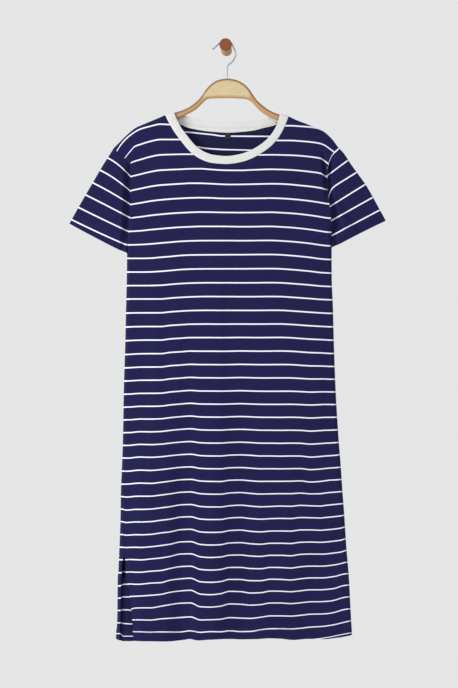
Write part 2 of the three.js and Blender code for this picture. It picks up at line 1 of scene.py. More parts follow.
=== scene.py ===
import math
import bpy
import numpy as np
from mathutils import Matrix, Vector


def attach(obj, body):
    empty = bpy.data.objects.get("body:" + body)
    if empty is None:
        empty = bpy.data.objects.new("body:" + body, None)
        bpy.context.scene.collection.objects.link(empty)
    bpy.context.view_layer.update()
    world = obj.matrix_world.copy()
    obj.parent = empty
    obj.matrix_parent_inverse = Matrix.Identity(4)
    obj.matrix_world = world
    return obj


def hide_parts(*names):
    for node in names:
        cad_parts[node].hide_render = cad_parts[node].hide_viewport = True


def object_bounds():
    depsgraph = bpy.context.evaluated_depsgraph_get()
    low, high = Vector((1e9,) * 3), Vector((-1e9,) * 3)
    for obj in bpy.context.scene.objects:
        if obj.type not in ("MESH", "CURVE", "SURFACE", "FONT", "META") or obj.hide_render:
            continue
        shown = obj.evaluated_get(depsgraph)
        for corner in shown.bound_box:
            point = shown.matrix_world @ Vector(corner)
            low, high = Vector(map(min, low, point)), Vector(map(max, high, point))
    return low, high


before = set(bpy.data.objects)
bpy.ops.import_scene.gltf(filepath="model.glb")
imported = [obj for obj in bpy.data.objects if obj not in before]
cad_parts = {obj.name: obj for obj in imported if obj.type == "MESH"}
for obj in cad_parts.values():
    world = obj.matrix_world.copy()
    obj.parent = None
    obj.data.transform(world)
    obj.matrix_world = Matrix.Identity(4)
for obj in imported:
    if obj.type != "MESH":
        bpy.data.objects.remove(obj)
cad_low, cad_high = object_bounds()

# Lengths below are in millimetres in the row frame: X to the viewer's right, Y into the wall, Z up.
MM = 0.001

# Camera: level, looking along +Y
EYE = (5.6, -2330.0, -653.9)
FOCAL_PX = 1045.45
PICTURE_PX = (458, 688)
SENSOR = 36.0


def table(names, rows):
    """Columns of a short table by name."""
    return dict(zip(names.split(), np.array(rows, float).T))


# Cloth and seams
CLOTH = 1.1
HEM_CLOTH = 2.1
SEAM = 0.3
MIDDLE_Y = -28.0
ROLL = 8.2
BACK_SHARE = 0.35
ARMPIT_Z = -425.0
ARMPIT_BLEND = 45.0
SLIT_Z = -1117.0
HEM_Z = -1300.0
HEM_DEEP = 22.0

SIDES = table("z left right", [
    (-425, -218.5, 231.5), (-505, -219.4, 231.8), (-576, -221.2, 234.6), (-646, -222.8, 236.4),
    (-752, -226.1, 240.3), (-858, -227.9, 246.6), (-935, -230.5, 252.6), (-975, -232.3, 255.2),
    (-1034, -233.2, 259.6), (-1104, -235.8, 264), (-1175, -238.5, 269.8), (-1245, -239.2, 273.3),
    (-1300, -241.4, 276.6),
])
DEPTHS = table("z front back", [
    (-140, 8.2, 8.2), (-300, 9.5, 8), (-425, 11, 8), (-700, 13, 8), (-1300, 14, 8),
])
# Panel edges at the sides, round the cloth from the silhouette towards the front
EDGES = table("z front_left back_left front_right back_right", [
    (-960, 0, 0, 0, 0), (-1015, 5, 5, 0, 0), (-1070, 14, 14, 0, 0), (-1117, 19.2, 19.2, 0, 0),
    (-1120, 19.6, 14.6, 0.2, -0.2), (-1150, 21.5, 13, 0.8, -0.6), (-1181, 28, 12.6, 1.2, -1),
    (-1210, 32.4, 12.3, 1.4, -1), (-1238, 36, 12, 1.6, -1), (-1300, 43, 12, 2.5, -1),
])
# Vertical folds: heights to the viewer across the dress, at the waist and low down
FOLDS = table("x waist low", [
    (-236, -3, 0), (-219, -2.6, 2.5), (-212, -1.8, 3.4), (-199, -1.5, 6), (-186, -1.2, 8.6),
    (-173, 0, 9.5), (-166, 1.1, 10), (-160, 2.3, 10), (-147, 2.8, 10), (-133, 2.1, 10),
    (-131, 2.1, 10), (-120, 2.3, 8.1), (-107, 2.3, 4.2), (-94, 1.2, 1.9), (-81, 1.2, 1.8),
    (-68, 2.9, 4.5), (-55, 3.7, 5.6), (-41, 4.2, 6.4), (-28, 4.5, 7.1), (-15, 4.4, 6),
    (-2, 2.6, 3.4), (11, 1.5, 0.2), (24, 1.3, -2.1), (37, 1.4, -4.2), (50, 1.5, -4.6),
    (70, 1.5, -3.5), (96, 1.5, -4.1), (136, 1.5, -3.6), (142, 1.5, -3.9), (169, 1.8, -4.9),
    (182, 2, -5.4), (195, 2.3, -5.4), (208, 1.6, -5.5), (217, 0.5, -5.5), (221, -0.1, -5.2),
    (234, -0.6, -4.5), (248, 0, -3.8), (272, 0, -1.4),
])
FOLDS_START = -400.0
FOLDS_WAIST = -700.0
FOLDS_LOW = -1000.0
# The crease that goes in beside the right armhole, each pair for its top and its bottom end
CREASE_X = (212.0, 222.0)
CREASE_Z = (-226.0, -352.0)
CREASE_FADE = (40.0, 50.0)
CREASE_HALF_WIDE = 4.2
CREASE_DEEP = 10.0
# By the left slit the back panel lies close behind the front and hangs a little lower
SLIT_NEARER = 14.5
SLIT_NEAR_Z = -1146.0
SLIT_NEAR_RISE = 24.0
SLIT_NEAR_END = -130.0
SLIT_NEAR_FADE = 90.0
SLIT_BACK_DROP = 3.5
SLIT_BACK_INSET = 5.0
SLIT_BACK_FADE = 8.0
HEM = table("x z", [
    (-245, -1302), (-200, -1302.1), (-165, -1301.8), (-140, -1302.2), (-115, -1302.1),
    (-95, -1301.2), (-80, -1299), (-62, -1301.3), (-40, -1299.5), (-10, -1298.5), (15, -1299.9),
    (38, -1301.7), (60, -1301.2), (96, -1299.3), (118, -1300), (147, -1302.8), (177, -1300.9),
    (216, -1301.5), (238, -1298.6), (249, -1297.2), (262, -1294.4), (271, -1292.5), (280, -1291.4),
])
ARMHOLES = table("z left right", [
    (-222, -247.5, 246.3), (-232, -239.6, 237), (-247, -222, 227.5), (-258, -209.5, 223.8),
    (-286, -209.2, 221.7), (-317, -209.2, 222), (-350, -209, 225.8), (-385, -212.4, 229.6),
    (-425, -218.5, 231.5),
])
SHOULDER_LEFT = [
    (-247.5, -222), (-236.5, -211), (-221, -195.5), (-199.7, -178), (-180.5, -169.4),
    (-159, -160.4),
]
SHOULDER_RIGHT = [
    (156, -161.8), (174, -168.6), (193, -176.8), (213.7, -186.2), (231.5, -202), (246.3, -221.5),
]
# Neckband rows: seam x and z, free edge x and z, how far the cloth has rolled over, in degrees
NECK_FRONT = [
    (-135.5, -150.3, -115.3, -144.6, 0), (-135, -151.1, -114.8, -145, 30),
    (-133.8, -153.6, -113.8, -148, 60), (-132, -157.8, -112, -153.5, 90),
    (-117, -185, -101, -176, 90), (-102, -206, -87.5, -195, 90), (-79, -233, -66.5, -219.5, 90),
    (-57, -248.5, -47.5, -232.5, 90), (-32, -257, -27.5, -239, 90), (0, -259.5, 0, -241.5, 90),
    (31, -255.5, 26.5, -238, 90), (54, -248, 46, -232, 90), (79, -234, 69, -220, 90),
    (97, -221, 84.5, -208.5, 90), (116, -199, 101, -190, 90), (127, -179, 110, -174, 90),
    (134.5, -160.8, 115.5, -158, 90), (136.3, -156.1, 116.8, -151.4, 60),
    (137, -153.7, 117.4, -148.7, 30), (137.3, -153, 117.5, -148, 0),
]
NECK_BACK = [
    (-134.3, -151.4, -114.8, -144.9, 30), (-131, -153.6, -113, -145.4, 60),
    (-126, -157, -109.5, -146, 90), (-110, -163.5, -97.5, -147.5, 90), (-92, -170, -83, -152, 90),
    (-70, -175.5, -65, -157.5, 90), (-38, -180, -36, -162, 90), (0, -181.5, 0, -163.5, 90),
    (38, -180.2, 36, -162.5, 90), (72, -176.5, 67, -159.3, 90), (95, -172, 86.5, -155, 90),
    (112, -167, 100, -151.5, 90), (130, -159.8, 112, -149.5, 90), (134.6, -156.2, 115, -149, 60),
    (136.5, -154.1, 116.8, -148.4, 30),
]

# Stripes. Every place below is a pixel of a 458 x 688 picture from the camera above.
# Height of each stripe at the middle of the dress, from stripe -4 down
STRIPE_FIRST = -4
STRIPE_HEIGHTS = np.array([
    96.5, 110.9, 125.2, 139.9, 154.9, 169.9, 184.0, 198.0, 212.0, 226.0, 240.1, 254.2, 268.3, 282.3,
    296.1, 309.9, 323.6, 337.1, 350.7, 364.1, 377.3, 390.5, 403.5, 416.3, 429.1, 441.9, 454.6,
    467.3, 479.8, 492.5, 505.3, 517.6, 530.2, 542.5, 554.6, 566.9, 578.8, 590.7, 603.4, 617.2,
    630.3, 643.4, 656.5,
])
# Width of a stripe in mm, at the top and low down, and the heights between which it changes
STRIPE_WIDE = 2.98
STRIPE_LOW_WIDE = 2.45
STRIPE_LOW_Z = (-500.0, -1100.0)
# The stripes by the hem are narrower by this share, from this stripe on
STRIPE_LAST = 36.3
STRIPE_LAST_THINNER = 0.3
# How far a stripe of each height lies below it, in tenths of a pixel, by picture column
DROOP_COLUMNS = [
    118, 122, 126, 130, 135, 140, 150, 160, 170, 180, 190, 200, 210, 220, 229, 240, 250, 260, 270,
    280, 290, 300, 310, 320, 325, 330, 335, 340, 345, 350,
]
DROOP = {
    170: [80, 80, 80, 62, 50, 38, 14, -2, -7, -11, -16, -17, -10, -3, -1, 0, -4, -8, -11, -9, -5, 3, 14, 30,
          60, 90, 90, 90, 90, 90],
    184: [70, 70, 70, 62, 51, 41, 20, 6, -1, -7, -13, -12, -8, -3, 0, -1, -3, -5, -7, -6, 0, 10, 20, 35, 48,
          56, 56, 56, 56, 56],
    198: [62, 62, 62, 60, 52, 44, 26, 14, 5, -1, -6, -8, -6, -1, 0, 0, -1, -2, -4, -1, 5, 14, 26, 41, 50,
          56, 56, 56, 56, 56],
    226: [50, 50, 50, 49, 46, 43, 32, 23, 14, 7, 3, -1, -1, -1, 0, 2, 2, 0, -1, 4, 10, 19, 31, 46, 54, 58,
          58, 58, 58, 58],
    254: [36, 36, 36, 37, 37, 37, 35, 26, 18, 8, 3, 2, 1, 1, 0, 0, -1, -2, -2, 1, 8, 17, 28, 42, 46, 48, 48,
          48, 48, 48],
    296: [26, 26, 26, 24, 24, 24, 24, 24, 15, 8, 3, 0, -1, 0, 0, 1, 1, 0, -1, 0, 6, 13, 20, 28, 30, 32, 32,
          31, 31, 31],
    351: [33, 33, 33, 31, 28, 26, 25, 25, 12, 6, -1, 0, 0, 1, 0, -2, -1, 0, -1, -2, 0, 7, 14, 17, 20, 23,
          23, 23, 23, 23],
    404: [34, 34, 31, 30, 26, 23, 23, 21, 9, 0, -7, 0, 1, 2, 0, -3, 0, 3, 4, 4, 3, 6, 10, 6, 4, 5, 5, 4, 4,
          4],
    455: [27, 28, 30, 29, 22, 19, 22, 17, 6, -4, -9, 5, 9, 9, 1, -2, 2, 9, 9, 11, 9, 10, 20, 14, 9, 6, 2,
          -5, -8, -8],
    480: [39, 39, 38, 36, 30, 28, 31, 21, 8, -5, -9, 7, 11, 12, 0, -3, 5, 11, 10, 10, 9, 6, 17, 11, 4, -2,
          -4, -8, -10, -10],
    505: [28, 34, 43, 41, 36, 36, 33, 21, 8, -9, -13, 7, 12, 12, 0, -6, 3, 10, 7, 3, 5, -4, 0, 3, -4, -9,
          -14, -19, -22, -22],
    530: [36, 39, 45, 43, 40, 41, 37, 23, 11, -10, -14, 12, 17, 15, -1, -6, 6, 12, 4, 3, 4, -7, -8, -4, -8,
          -12, -18, -25, -40, -47],
    555: [47, 47, 46, 44, 46, 48, 39, 29, 12, -11, -13, 17, 24, 19, 1, -1, 9, 13, 2, 2, 7, -7, -11, -10,
          -11, -17, -23, -30, -45, -54],
    579: [50, 50, 49, 47, 50, 49, 38, 34, 8, -4, -11, 25, 30, 23, 1, 2, 14, 14, -1, 1, 7, -5, -14, -14, -16,
          -23, -30, -45, -55, -58],
    591: [61, 60, 59, 53, 50, 48, 41, 32, 10, -3, -9, 29, 35, 25, 1, 4, 18, 15, -1, 0, 5, -4, -14, -14, -17,
          -22, -30, -48, -59, -64],
    603: [60, 60, 60, 54, 42, 40, 40, 24, 6, -8, -10, 29, 32, 23, 0, 3, 12, 7, -9, -9, -3, -11, -21, -22,
          -25, -29, -39, -55, -67, -72],
    617: [22, 22, 22, 22, 22, 22, 24, 12, 5, -2, -8, 23, 21, 16, 0, 4, 7, -4, -18, -18, -16, -24, -35, -37,
          -39, -45, -56, -72, -84, -90],
    630: [8, 8, 8, 8, 10, 11, 14, 12, 13, 11, 0, 15, 8, 10, 0, 8, 6, -10, -20, -22, -18, -25, -37, -42, -47,
          -54, -63, -75, -88, -100],
    643: [8, 8, 8, 8, 10, 11, 14, 12, 13, 11, 0, 15, 8, 10, 0, 8, 6, -10, -20, -22, -18, -25, -43, -54, -62,
          -70, -81, -91, -101, -110],
}
LOW_ROWS = {height: [(column, tenths / 10) for column, tenths in zip(DROOP_COLUMNS, droop)]
            for height, droop in DROOP.items()}
FRONT_ROWS = {
    **LOW_ROWS,
    125: [(113, 30), (116.5, 24.8), (122, 16.8), (130, 9.3), (140, 3.3), (150, 0.5), (160, -1.6),
          (168, -1.2), (229, 0), (290, 0), (300, 0.6), (310, 1.4), (317, 2.6), (325, 5.5),
          (337, 12)],
    140: [(113, 30), (124.5, 18.6), (126, 16.1), (130, 11), (134, 6.2), (140, 4), (150, 0.9),
          (160, -0.9), (180, -0.9), (229, 0), (290, 0.1), (300, 0.7), (310, 1.6), (320, 3.2),
          (325, 5.3), (330, 9), (337, 14)],
    155: [(113, 19), (125, 11.5), (131.5, 6.9), (135, 5.6), (140, 4.2), (150, 1.3), (160, -0.5),
          (190, -1.2), (229, 0), (270, -0.6), (290, -0.2), (300, 0.4), (310, 1.4), (320, 3),
          (325, 6.3), (328, 8.6), (333, 13)],
}
BACK_ROWS = {
    **LOW_ROWS,
    125: [(113, 14), (150, -9), (185, -8), (225, -4.5), (268, -4), (310, -2), (337, 14)],
    140: [(113, 20), (135, 0), (150, -9), (185, -8.3), (191, -7.8), (200, -6.8), (212, -5.6),
          (222, -4.2), (245, -4), (268, -3.9), (310, -2), (337, 16)],
    155: [(113, 24), (131, 4), (150, -6), (196, -8.6), (205, -7.1), (225, -5.8), (245, -5.3),
          (300, -3), (333, 10)],
    170: [(125, 8), (150, -2), (196, -6), (225, -5), (300, -2), (328, 6)],
    567: [(118, 5.3), (121, 5.5), (122, 4.4), (126, 4.4), (150, 4.5), (180, 0), (229, 0), (300, 0),
          (346, -4)],
    579: [(118, 6.7), (120, 6.5), (121.5, 5.4), (124, 4.8), (130, 4.8), (150, 5), (180, 0), (229, 0),
          (300, 0), (350, -5)],
    591: [(118, 7), (120, 6.8), (121.5, 5.7), (130, 5.6), (150, 5), (180, 1), (229, 0), (300, 0),
          (350, -5)],
    603: [(118, 6.6), (120, 6.5), (121.5, 5.8), (128, 5.8), (132, 6.8), (150, 6), (180, 1.7), (229, 1),
          (300, 1), (350, -5)],
    617: [(118, 5.3), (121, 5.2), (122.5, 5.6), (133, 6.2), (150, 6), (180, 1.7), (229, 1), (350, -6)],
    630: [(116.5, 2.8), (121, 3), (122.5, 5.3), (134, 5.3), (150, 5), (180, 3.7), (229, 2), (300, 0),
          (350, -7)],
}
# Sleeve stripes: outer end, inner end, how far a straight one lies below the slope at its inner end
# and how late it bends down from there
SLEEVE_SLOPE = 0.4986
LEFT_STRIPES = table("outer_x outer_y inner_x inner_y tilt power", [
    (114.8, 146.4, 131.5, 163, 0, 2), (108.2, 158, 130.8, 176.6, 0, 2), (101, 170.4, 130.4, 191, 0, 2),
    (93.5, 182.9, 130.4, 204.2, 0, 2), (86.2, 194.9, 130.6, 217.8, 0, 2), (78.7, 207.3, 128, 231, 0, 2),
    (71.7, 219.4, 127.1, 244.9, 0, 2), (64.6, 232, 126.4, 259, 0, 2),
])
RIGHT_STRIPES = table("outer_x outer_y inner_x inner_y tilt power", [
    (331, 135, 328, 140, 0, 3), (339, 147.6, 327.8, 163, 3.6, 7), (346.8, 160.3, 329, 173.2, 3.8, 2),
    (355.7, 172.1, 327.6, 197, 3.3, 14), (363.9, 184.4, 328.5, 206.4, 4.2, 2),
    (372.1, 197, 329.5, 220.9, 2.4, 2), (379.2, 209.6, 330.4, 235.6, 1.4, 2),
    (386.4, 222, 331.2, 251, 1, 2),
])
# Sleeves: the fold along the top from the shoulder tip to the hem, the hem's inner end, how far
# the hem bows down, and the dip beside the seam: its width in the picture plane at the top and at
# the armpit, and under 1 where it dips soon
SLEEVES = {
    "left": dict(
        fold=[(-247.5, -222), (-253.8, -232.2), (-269.9, -257.4), (-300.8, -310.2),
              (-327.4, -355.9), (-345.6, -388.9)],
        inner=(-219.4, -454.8), bow=0.9, dip_wide=(17.0, 20.0), dip_early=0.42,
        stripes=LEFT_STRIPES, outward=-1),
    "right": dict(
        fold=[(246.3, -221.5), (257.9, -234.2), (272.9, -256.8), (310.4, -309.8), (332, -348.4),
              (350.6, -382.3)],
        inner=(232.5, -442.7), bow=-1.2, dip_wide=(8.0, 32.0), dip_early=0.7,
        stripes=RIGHT_STRIPES, outward=1),
}
SLEEVE_HALF_DEPTH = 9.0
SLEEVE_FULL_AT = 8.0
# The front of a sleeve dips in beside its seam, the back a little. The dip begins and widens over
# these shares of the way down the armhole and is never wider than a share of the sleeve.
SLEEVE_DIP = 10.5
SLEEVE_BACK_DIP = 2.0
SLEEVE_DIP_BEGINS = (0.08, 0.23)
SLEEVE_DIP_WIDENS = (0.3, 0.7)
SLEEVE_DIP_WIDEST = 0.8
# The hem's inner end lies in front of the body's side
SLEEVE_END_IN = 2.8
SLEEVE_END_NEARER = 9.5
SLEEVE_END_FROM = 0.82
SLEEVE_END_BY = 0.8
SLEEVE_FLAT_FROM = 0.3
# Rows along a sleeve: from, to and how many
SLEEVE_ROWS = [(0, 0.3, 20), (0.33, 0.82, 18), (0.84, 1, 14)]
SLEEVE_GAP = 0.3
SLEEVE_TUCK = 3.0


def clamp01(t):
    return np.clip(t, 0, 1)


def smooth(t):
    t = clamp01(t)
    return t * t * (3 - 2 * t)


def ramp(start, end, value):
    """0 up to the start, 1 past the end, either way round."""
    return smooth((value - start) / (end - start))


def mix(a, b, t):
    return a + (b - a) * t


def unit(vectors):
    return vectors / np.linalg.norm(vectors, axis=-1, keepdims=True)


def cubic(xs, ys, at):
    """Cubic through the points that rises and falls only where they do, level past the ends."""
    xs = np.asarray(xs, float)
    ys = np.asarray(ys, float)
    if xs[0] > xs[-1]:
        xs, ys = xs[::-1], ys[::-1]
    h = np.diff(xs)
    d = np.diff(ys) / h
    slope = np.zeros(len(xs))
    same = d[:-1] * d[1:] > 0
    a = 2 * h[1:] + h[:-1]
    b = h[1:] + 2 * h[:-1]
    with np.errstate(divide="ignore", invalid="ignore"):
        inner = (a + b) / (a / d[:-1] + b / d[1:])
    slope[1:-1] = np.where(same, inner, 0)
    slope[0], slope[-1] = d[0], d[-1]
    at = np.clip(np.asarray(at, float), xs[0], xs[-1])
    i = np.clip(np.searchsorted(xs, at, side="right") - 1, 0, len(h) - 1)
    t = (at - xs[i]) / h[i]
    u = 1 - t
    return (ys[i] * (1 + 2 * t) * u * u + ys[i + 1] * (3 - 2 * t) * t * t
            + h[i] * t * u * (slope[i] * u - slope[i + 1] * t))


def look(rows, key, column, at):
    return cubic(rows[key], rows[column], at)


def fold_height(x, z):
    """Height of the folds towards the viewer."""
    begun = ramp(FOLDS_START, FOLDS_WAIST, z)
    low_share = ramp(FOLDS_WAIST, FOLDS_LOW, z)
    high = begun * mix(look(FOLDS, "x", "waist", x), look(FOLDS, "x", "low", x), low_share)
    top, bottom = CREASE_Z
    part = smooth((top - z) / CREASE_FADE[0]) * smooth((z - bottom) / CREASE_FADE[1])
    away = (x - mix(*CREASE_X, clamp01((top - z) / (top - bottom)))) / CREASE_HALF_WIDE
    return high - CREASE_DEEP * part * np.exp(-away * away)


def cloth_y(x, z, facing):
    """Y of the cloth's outer face. facing is 1 on the front, 0 at a side, -1 on the back."""
    half = np.where(facing >= 0, look(DEPTHS, "z", "front", z), look(DEPTHS, "z", "back", z))
    share = mix(BACK_SHARE, 1, np.maximum(facing, 0))
    at_slit = smooth((SLIT_NEAR_Z - z) / SLIT_NEAR_RISE)
    at_slit = at_slit * smooth((SLIT_NEAR_END - x) / SLIT_NEAR_FADE)
    nearer = SLIT_NEARER * at_slit * np.maximum(-facing, 0)
    return MIDDLE_Y - half * facing - share * fold_height(x, z) - nearer


def side_lines(level):
    left = look(SIDES, "z", "left", level)
    return left, look(SIDES, "z", "right", level) - left


def round_body(distance, width):
    """Place round the body by the distance round the cloth from the left silhouette."""
    whole = width - 2 * ROLL + math.pi * ROLL
    from_left = distance < whole / 2
    near = np.where(from_left, distance, whole - distance)
    angle = np.minimum(np.abs(near) / ROLL, math.pi / 2)
    inset = ROLL * (1 - np.cos(angle)) + np.maximum(np.abs(near) - ROLL * math.pi / 2, 0)
    return np.where(from_left, inset, width - inset), np.sign(near) * np.sin(angle)


def body_point(distance, z, side, level):
    left, width = side_lines(level)
    inset, own = round_body(distance, width)
    x = left + inset
    return np.stack([x, cloth_y(x, z, side * own), z + 0 * x], -1)


SIDE_ANGLES = np.array([0, math.pi / 8, math.pi / 4, 3 * math.pi / 8, math.pi / 2])


def column_distances(u, columns, level, side):
    """Distances round the cloth at the places u, from 0 to columns, of a panel's row."""
    _, width = side_lines(level)
    whole = width - 2 * ROLL + math.pi * ROLL
    name = "front" if side > 0 else "back"
    first = side * look(EDGES, "z", name + "_left", level) + SEAM / 2
    last = side * look(EDGES, "z", name + "_right", level) + SEAM / 2
    turns = len(SIDE_ANGLES) - 1
    nearest = np.minimum(u, columns - u)
    turned = ROLL * np.interp(nearest, np.arange(turns + 1), SIDE_ANGLES)
    flat = mix(ROLL * math.pi / 2, whole / 2, (nearest - turns) / (columns / 2 - turns))
    base = np.where(nearest > turns, flat, turned)
    even = np.where(u <= columns / 2, base, whole - base)
    return first + even * (whole - first - last) / whole


# Fine rows and columns
TOP_FINE = 6
UPPER_ROWS = 58
LOWER_ROWS = 166
HEM_ROWS = 14
TURN_ROWS = 8
# Distances in mm that stand for a point far from any hem and from any slit
FAR = 200.0
SLIT_FAR = 99.0


def top_edge(neck):
    """Fine points of a panel's top edge: x, z, how far it has rolled, and columns in each section."""
    left = SHOULDER_LEFT + [neck[0][:2]]
    right = [neck[-1][:2]] + SHOULDER_RIGHT
    neck = np.array(neck, float)
    parts = []
    for points, roll in ((np.array(left, float), None), (neck[:, :2], neck[:, 4]),
                         (np.array(right, float), None)):
        n = len(points) - 1
        u = np.linspace(0, n, n * TOP_FINE + 1)
        k = np.arange(n + 1)
        turned = 0 * u if roll is None else np.radians(cubic(k, roll, u))
        parts.append(np.stack([cubic(k, points[:, 0], u), cubic(k, points[:, 1], u), turned]))
    return np.concatenate([parts[0][:, :-1], parts[1], parts[2][:, 1:]], 1)


def panel_points(side, neck):
    """Outer points of the front (side 1) or back (-1) panel by row and column."""
    tip_x, tip_z, roll = top_edge(neck)
    count = len(tip_x)
    columns = (count - 1) / TOP_FINE
    u = np.arange(count) / TOP_FINE
    reach = len(SHOULDER_LEFT)
    at_armpit = column_distances(u, columns, ARMPIT_Z, side)
    foot = body_point(at_armpit, ARMPIT_Z, side, ARMPIT_Z)
    _, width = side_lines(ARMPIT_Z)
    foot_own = np.abs(round_body(at_armpit, width)[1])
    angles = np.linspace(SEAM / 2 / ROLL, math.pi / 2, TURN_ROWS)
    shares = np.linspace(0, 1, UPPER_ROWS - TURN_ROWS + 2)[1:-1]
    height = tip_z - ARMPIT_Z
    end = np.where(u < columns / 2, 0, count - 1)
    inward = np.minimum(u, columns - u)
    rows = []
    for turned, share in [(a, None) for a in angles] + [(None, s) for s in shares]:
        drop = ROLL * (1 - math.cos(turned)) if share is None else mix(ROLL, height, share)
        z = tip_z - drop
        x = mix(tip_x, foot[:, 0], drop / height)
        end_drop = (drop + 0 * height)[end]
        end_z = (tip_z - ARMPIT_Z)[end]
        edge_x = np.where(u < columns / 2, look(ARMHOLES, "z", "left", tip_z[end] - end_drop),
                          look(ARMHOLES, "z", "right", tip_z[end] - end_drop))
        straight_x = mix(tip_x[end], foot[end, 0], end_drop / end_z)
        x = x + (edge_x - straight_x) * np.maximum(1 - inward / reach, 0)
        below = ROLL * (1 - np.cos(roll)) + drop
        rolled = np.sqrt(1 - (1 - np.minimum(below / ROLL, 1)) ** 2)
        sideways = mix(foot_own, 1, smooth((z - ARMPIT_Z) / ARMPIT_BLEND))
        rows.append(np.stack([x, cloth_y(x, z, side * rolled * sideways), z], -1))
    levels = np.concatenate([np.linspace(ARMPIT_Z, HEM_Z + HEM_DEEP + 6, LOWER_ROWS - HEM_ROWS),
                             np.linspace(HEM_Z + HEM_DEEP + 4, HEM_Z, HEM_ROWS)])
    edge_gaps = []
    for level in levels:
        around = column_distances(u, columns, level, side)
        flat = body_point(around, level, side, level)
        foot_z = look(HEM, "x", "z", flat[:, 0])
        if side < 0:
            inset = flat[:, 0] - side_lines(HEM_Z)[0]
            at_slit = smooth((SLIT_NEAR_END - flat[:, 0]) / SLIT_NEAR_FADE)
            at_slit = at_slit * smooth((inset - SLIT_BACK_INSET) / SLIT_BACK_FADE)
            foot_z = foot_z - SLIT_BACK_DROP * at_slit
        z = mix(ARMPIT_Z, foot_z, (level - ARMPIT_Z) / (HEM_Z - ARMPIT_Z))
        rows.append(body_point(around, z, side, level))
        edge_gaps.append(np.minimum(around - around[0], around[-1] - around))
    points = np.stack(rows)
    slit = np.full(points.shape[:2], SLIT_FAR)
    open_rows = levels < SLIT_Z + 6
    slit[len(rows) - len(levels):][open_rows] = np.stack(edge_gaps)[open_rows]
    return points, slit


def grid_normals(points, side, closed):
    if closed:
        across = np.roll(points, -1, 1) - np.roll(points, 1, 1)
    else:
        across = np.gradient(points, axis=1)
    down = np.gradient(points, axis=0)
    return unit(-side * np.cross(across, down))


def pixels(points):
    """Picture column and row at which the camera sees each point, and the mm in a pixel there."""
    scale = (points[..., 1] - EYE[1]) / FOCAL_PX
    column = PICTURE_PX[0] / 2 + (points[..., 0] - EYE[0]) / scale
    row = PICTURE_PX[1] / 2 - (points[..., 2] - EYE[2]) / scale
    return column - 0.5, row - 0.5, scale


def stripe_phase(points, rows):
    """Number of the stripe at each point, with fractions between stripes, and the pitch in mm."""
    column, row, scale = pixels(points)
    levels = np.array(sorted(rows), float)
    droop = []
    for level in sorted(rows):
        place, lower = zip(*rows[level])
        droop.append(cubic(place, lower, column))
    droop = np.stack(droop)
    height = row
    for _ in range(4):
        at = np.clip(np.interp(height, levels, np.arange(len(levels))), 0, len(levels) - 1.001)
        i = at.astype(int)
        upper = np.take_along_axis(droop, i[None], 0)[0]
        lower = np.take_along_axis(droop, i[None] + 1, 0)[0]
        height = row - mix(upper, lower, at - i)
    numbers = np.arange(len(STRIPE_HEIGHTS)) + STRIPE_FIRST
    phase = np.interp(height, STRIPE_HEIGHTS, numbers)
    return phase, np.interp(phase, numbers, np.gradient(STRIPE_HEIGHTS)) * scale


def sleeve_phase(points, stripes, outward):
    column, row, scale = pixels(points)
    slope = -outward * SLEEVE_SLOPE
    c = row - column * slope
    outer = stripes["outer_y"] - slope * stripes["outer_x"]
    bend = stripes["inner_y"] - slope * stripes["inner_x"] - outer
    numbers = np.arange(len(outer), dtype=float)
    outer_x = np.interp(c, outer, stripes["outer_x"])
    inner_x = np.interp(c, outer, stripes["inner_x"])
    t = np.clip((column - outer_x) / (inner_x - outer_x), 0, 1.1)
    phase = np.interp(c, outer, numbers)

    def bent(numbered):
        tilt = np.interp(numbered, numbers, stripes["tilt"])
        late = t ** np.interp(numbered, numbers, stripes["power"])
        return tilt * t + (np.interp(numbered, numbers, bend) - tilt) * late

    for _ in range(4):
        phase = np.interp(c - bent(phase), outer, numbers)
    step = np.diff(outer)
    first = c - bent(numbers[0]) - outer[0]
    phase = np.where(first < 0, first / step[0], phase)
    last = c - bent(numbers[-1]) - outer[-1]
    phase = np.where(last > 0, numbers[-1] + last / step[-1], phase)
    return phase, float(np.mean(step)) * math.cos(math.atan(SLEEVE_SLOPE)) * scale


def lengths(points, axis):
    """Distance along the cloth from the first point, along rows (axis 1) or columns (axis 0)."""
    steps = np.linalg.norm(np.diff(points, axis=axis), axis=-1)
    pad = [(0, 0), (0, 0)]
    pad[axis] = (1, 0)
    return np.cumsum(np.pad(steps, pad), axis=axis)


# The inner face is painted a darker navy, partly the knit's duller reverse side and partly painted shade
# inside the dress. Below this height the painted shade fades and the inner face turns almost as bright as
# the outer one
REVERSE_FADE_Z = -900.0
REVERSE_FADE = 200.0
REVERSE_LESS = 0.9


def finish_mesh(name, vertices, faces):
    mesh = bpy.data.meshes.new(name)
    mesh.from_pydata((vertices * MM).tolist(), [], faces)
    mesh.validate()
    mesh.update()
    mesh.polygons.foreach_set("use_smooth", np.ones(len(mesh.polygons), bool))
    obj = bpy.data.objects.new(name, mesh)
    bpy.context.scene.collection.objects.link(obj)
    return obj


def set_field(mesh, name, values):
    data = mesh.attributes.new(name, "FLOAT", "POINT").data
    data.foreach_set("value", values.ravel().astype(np.float32))


def between(a, b):
    """Faces between two rows of vertex numbers."""
    return np.stack([a[:-1], a[1:], b[1:], b[:-1]], -1)


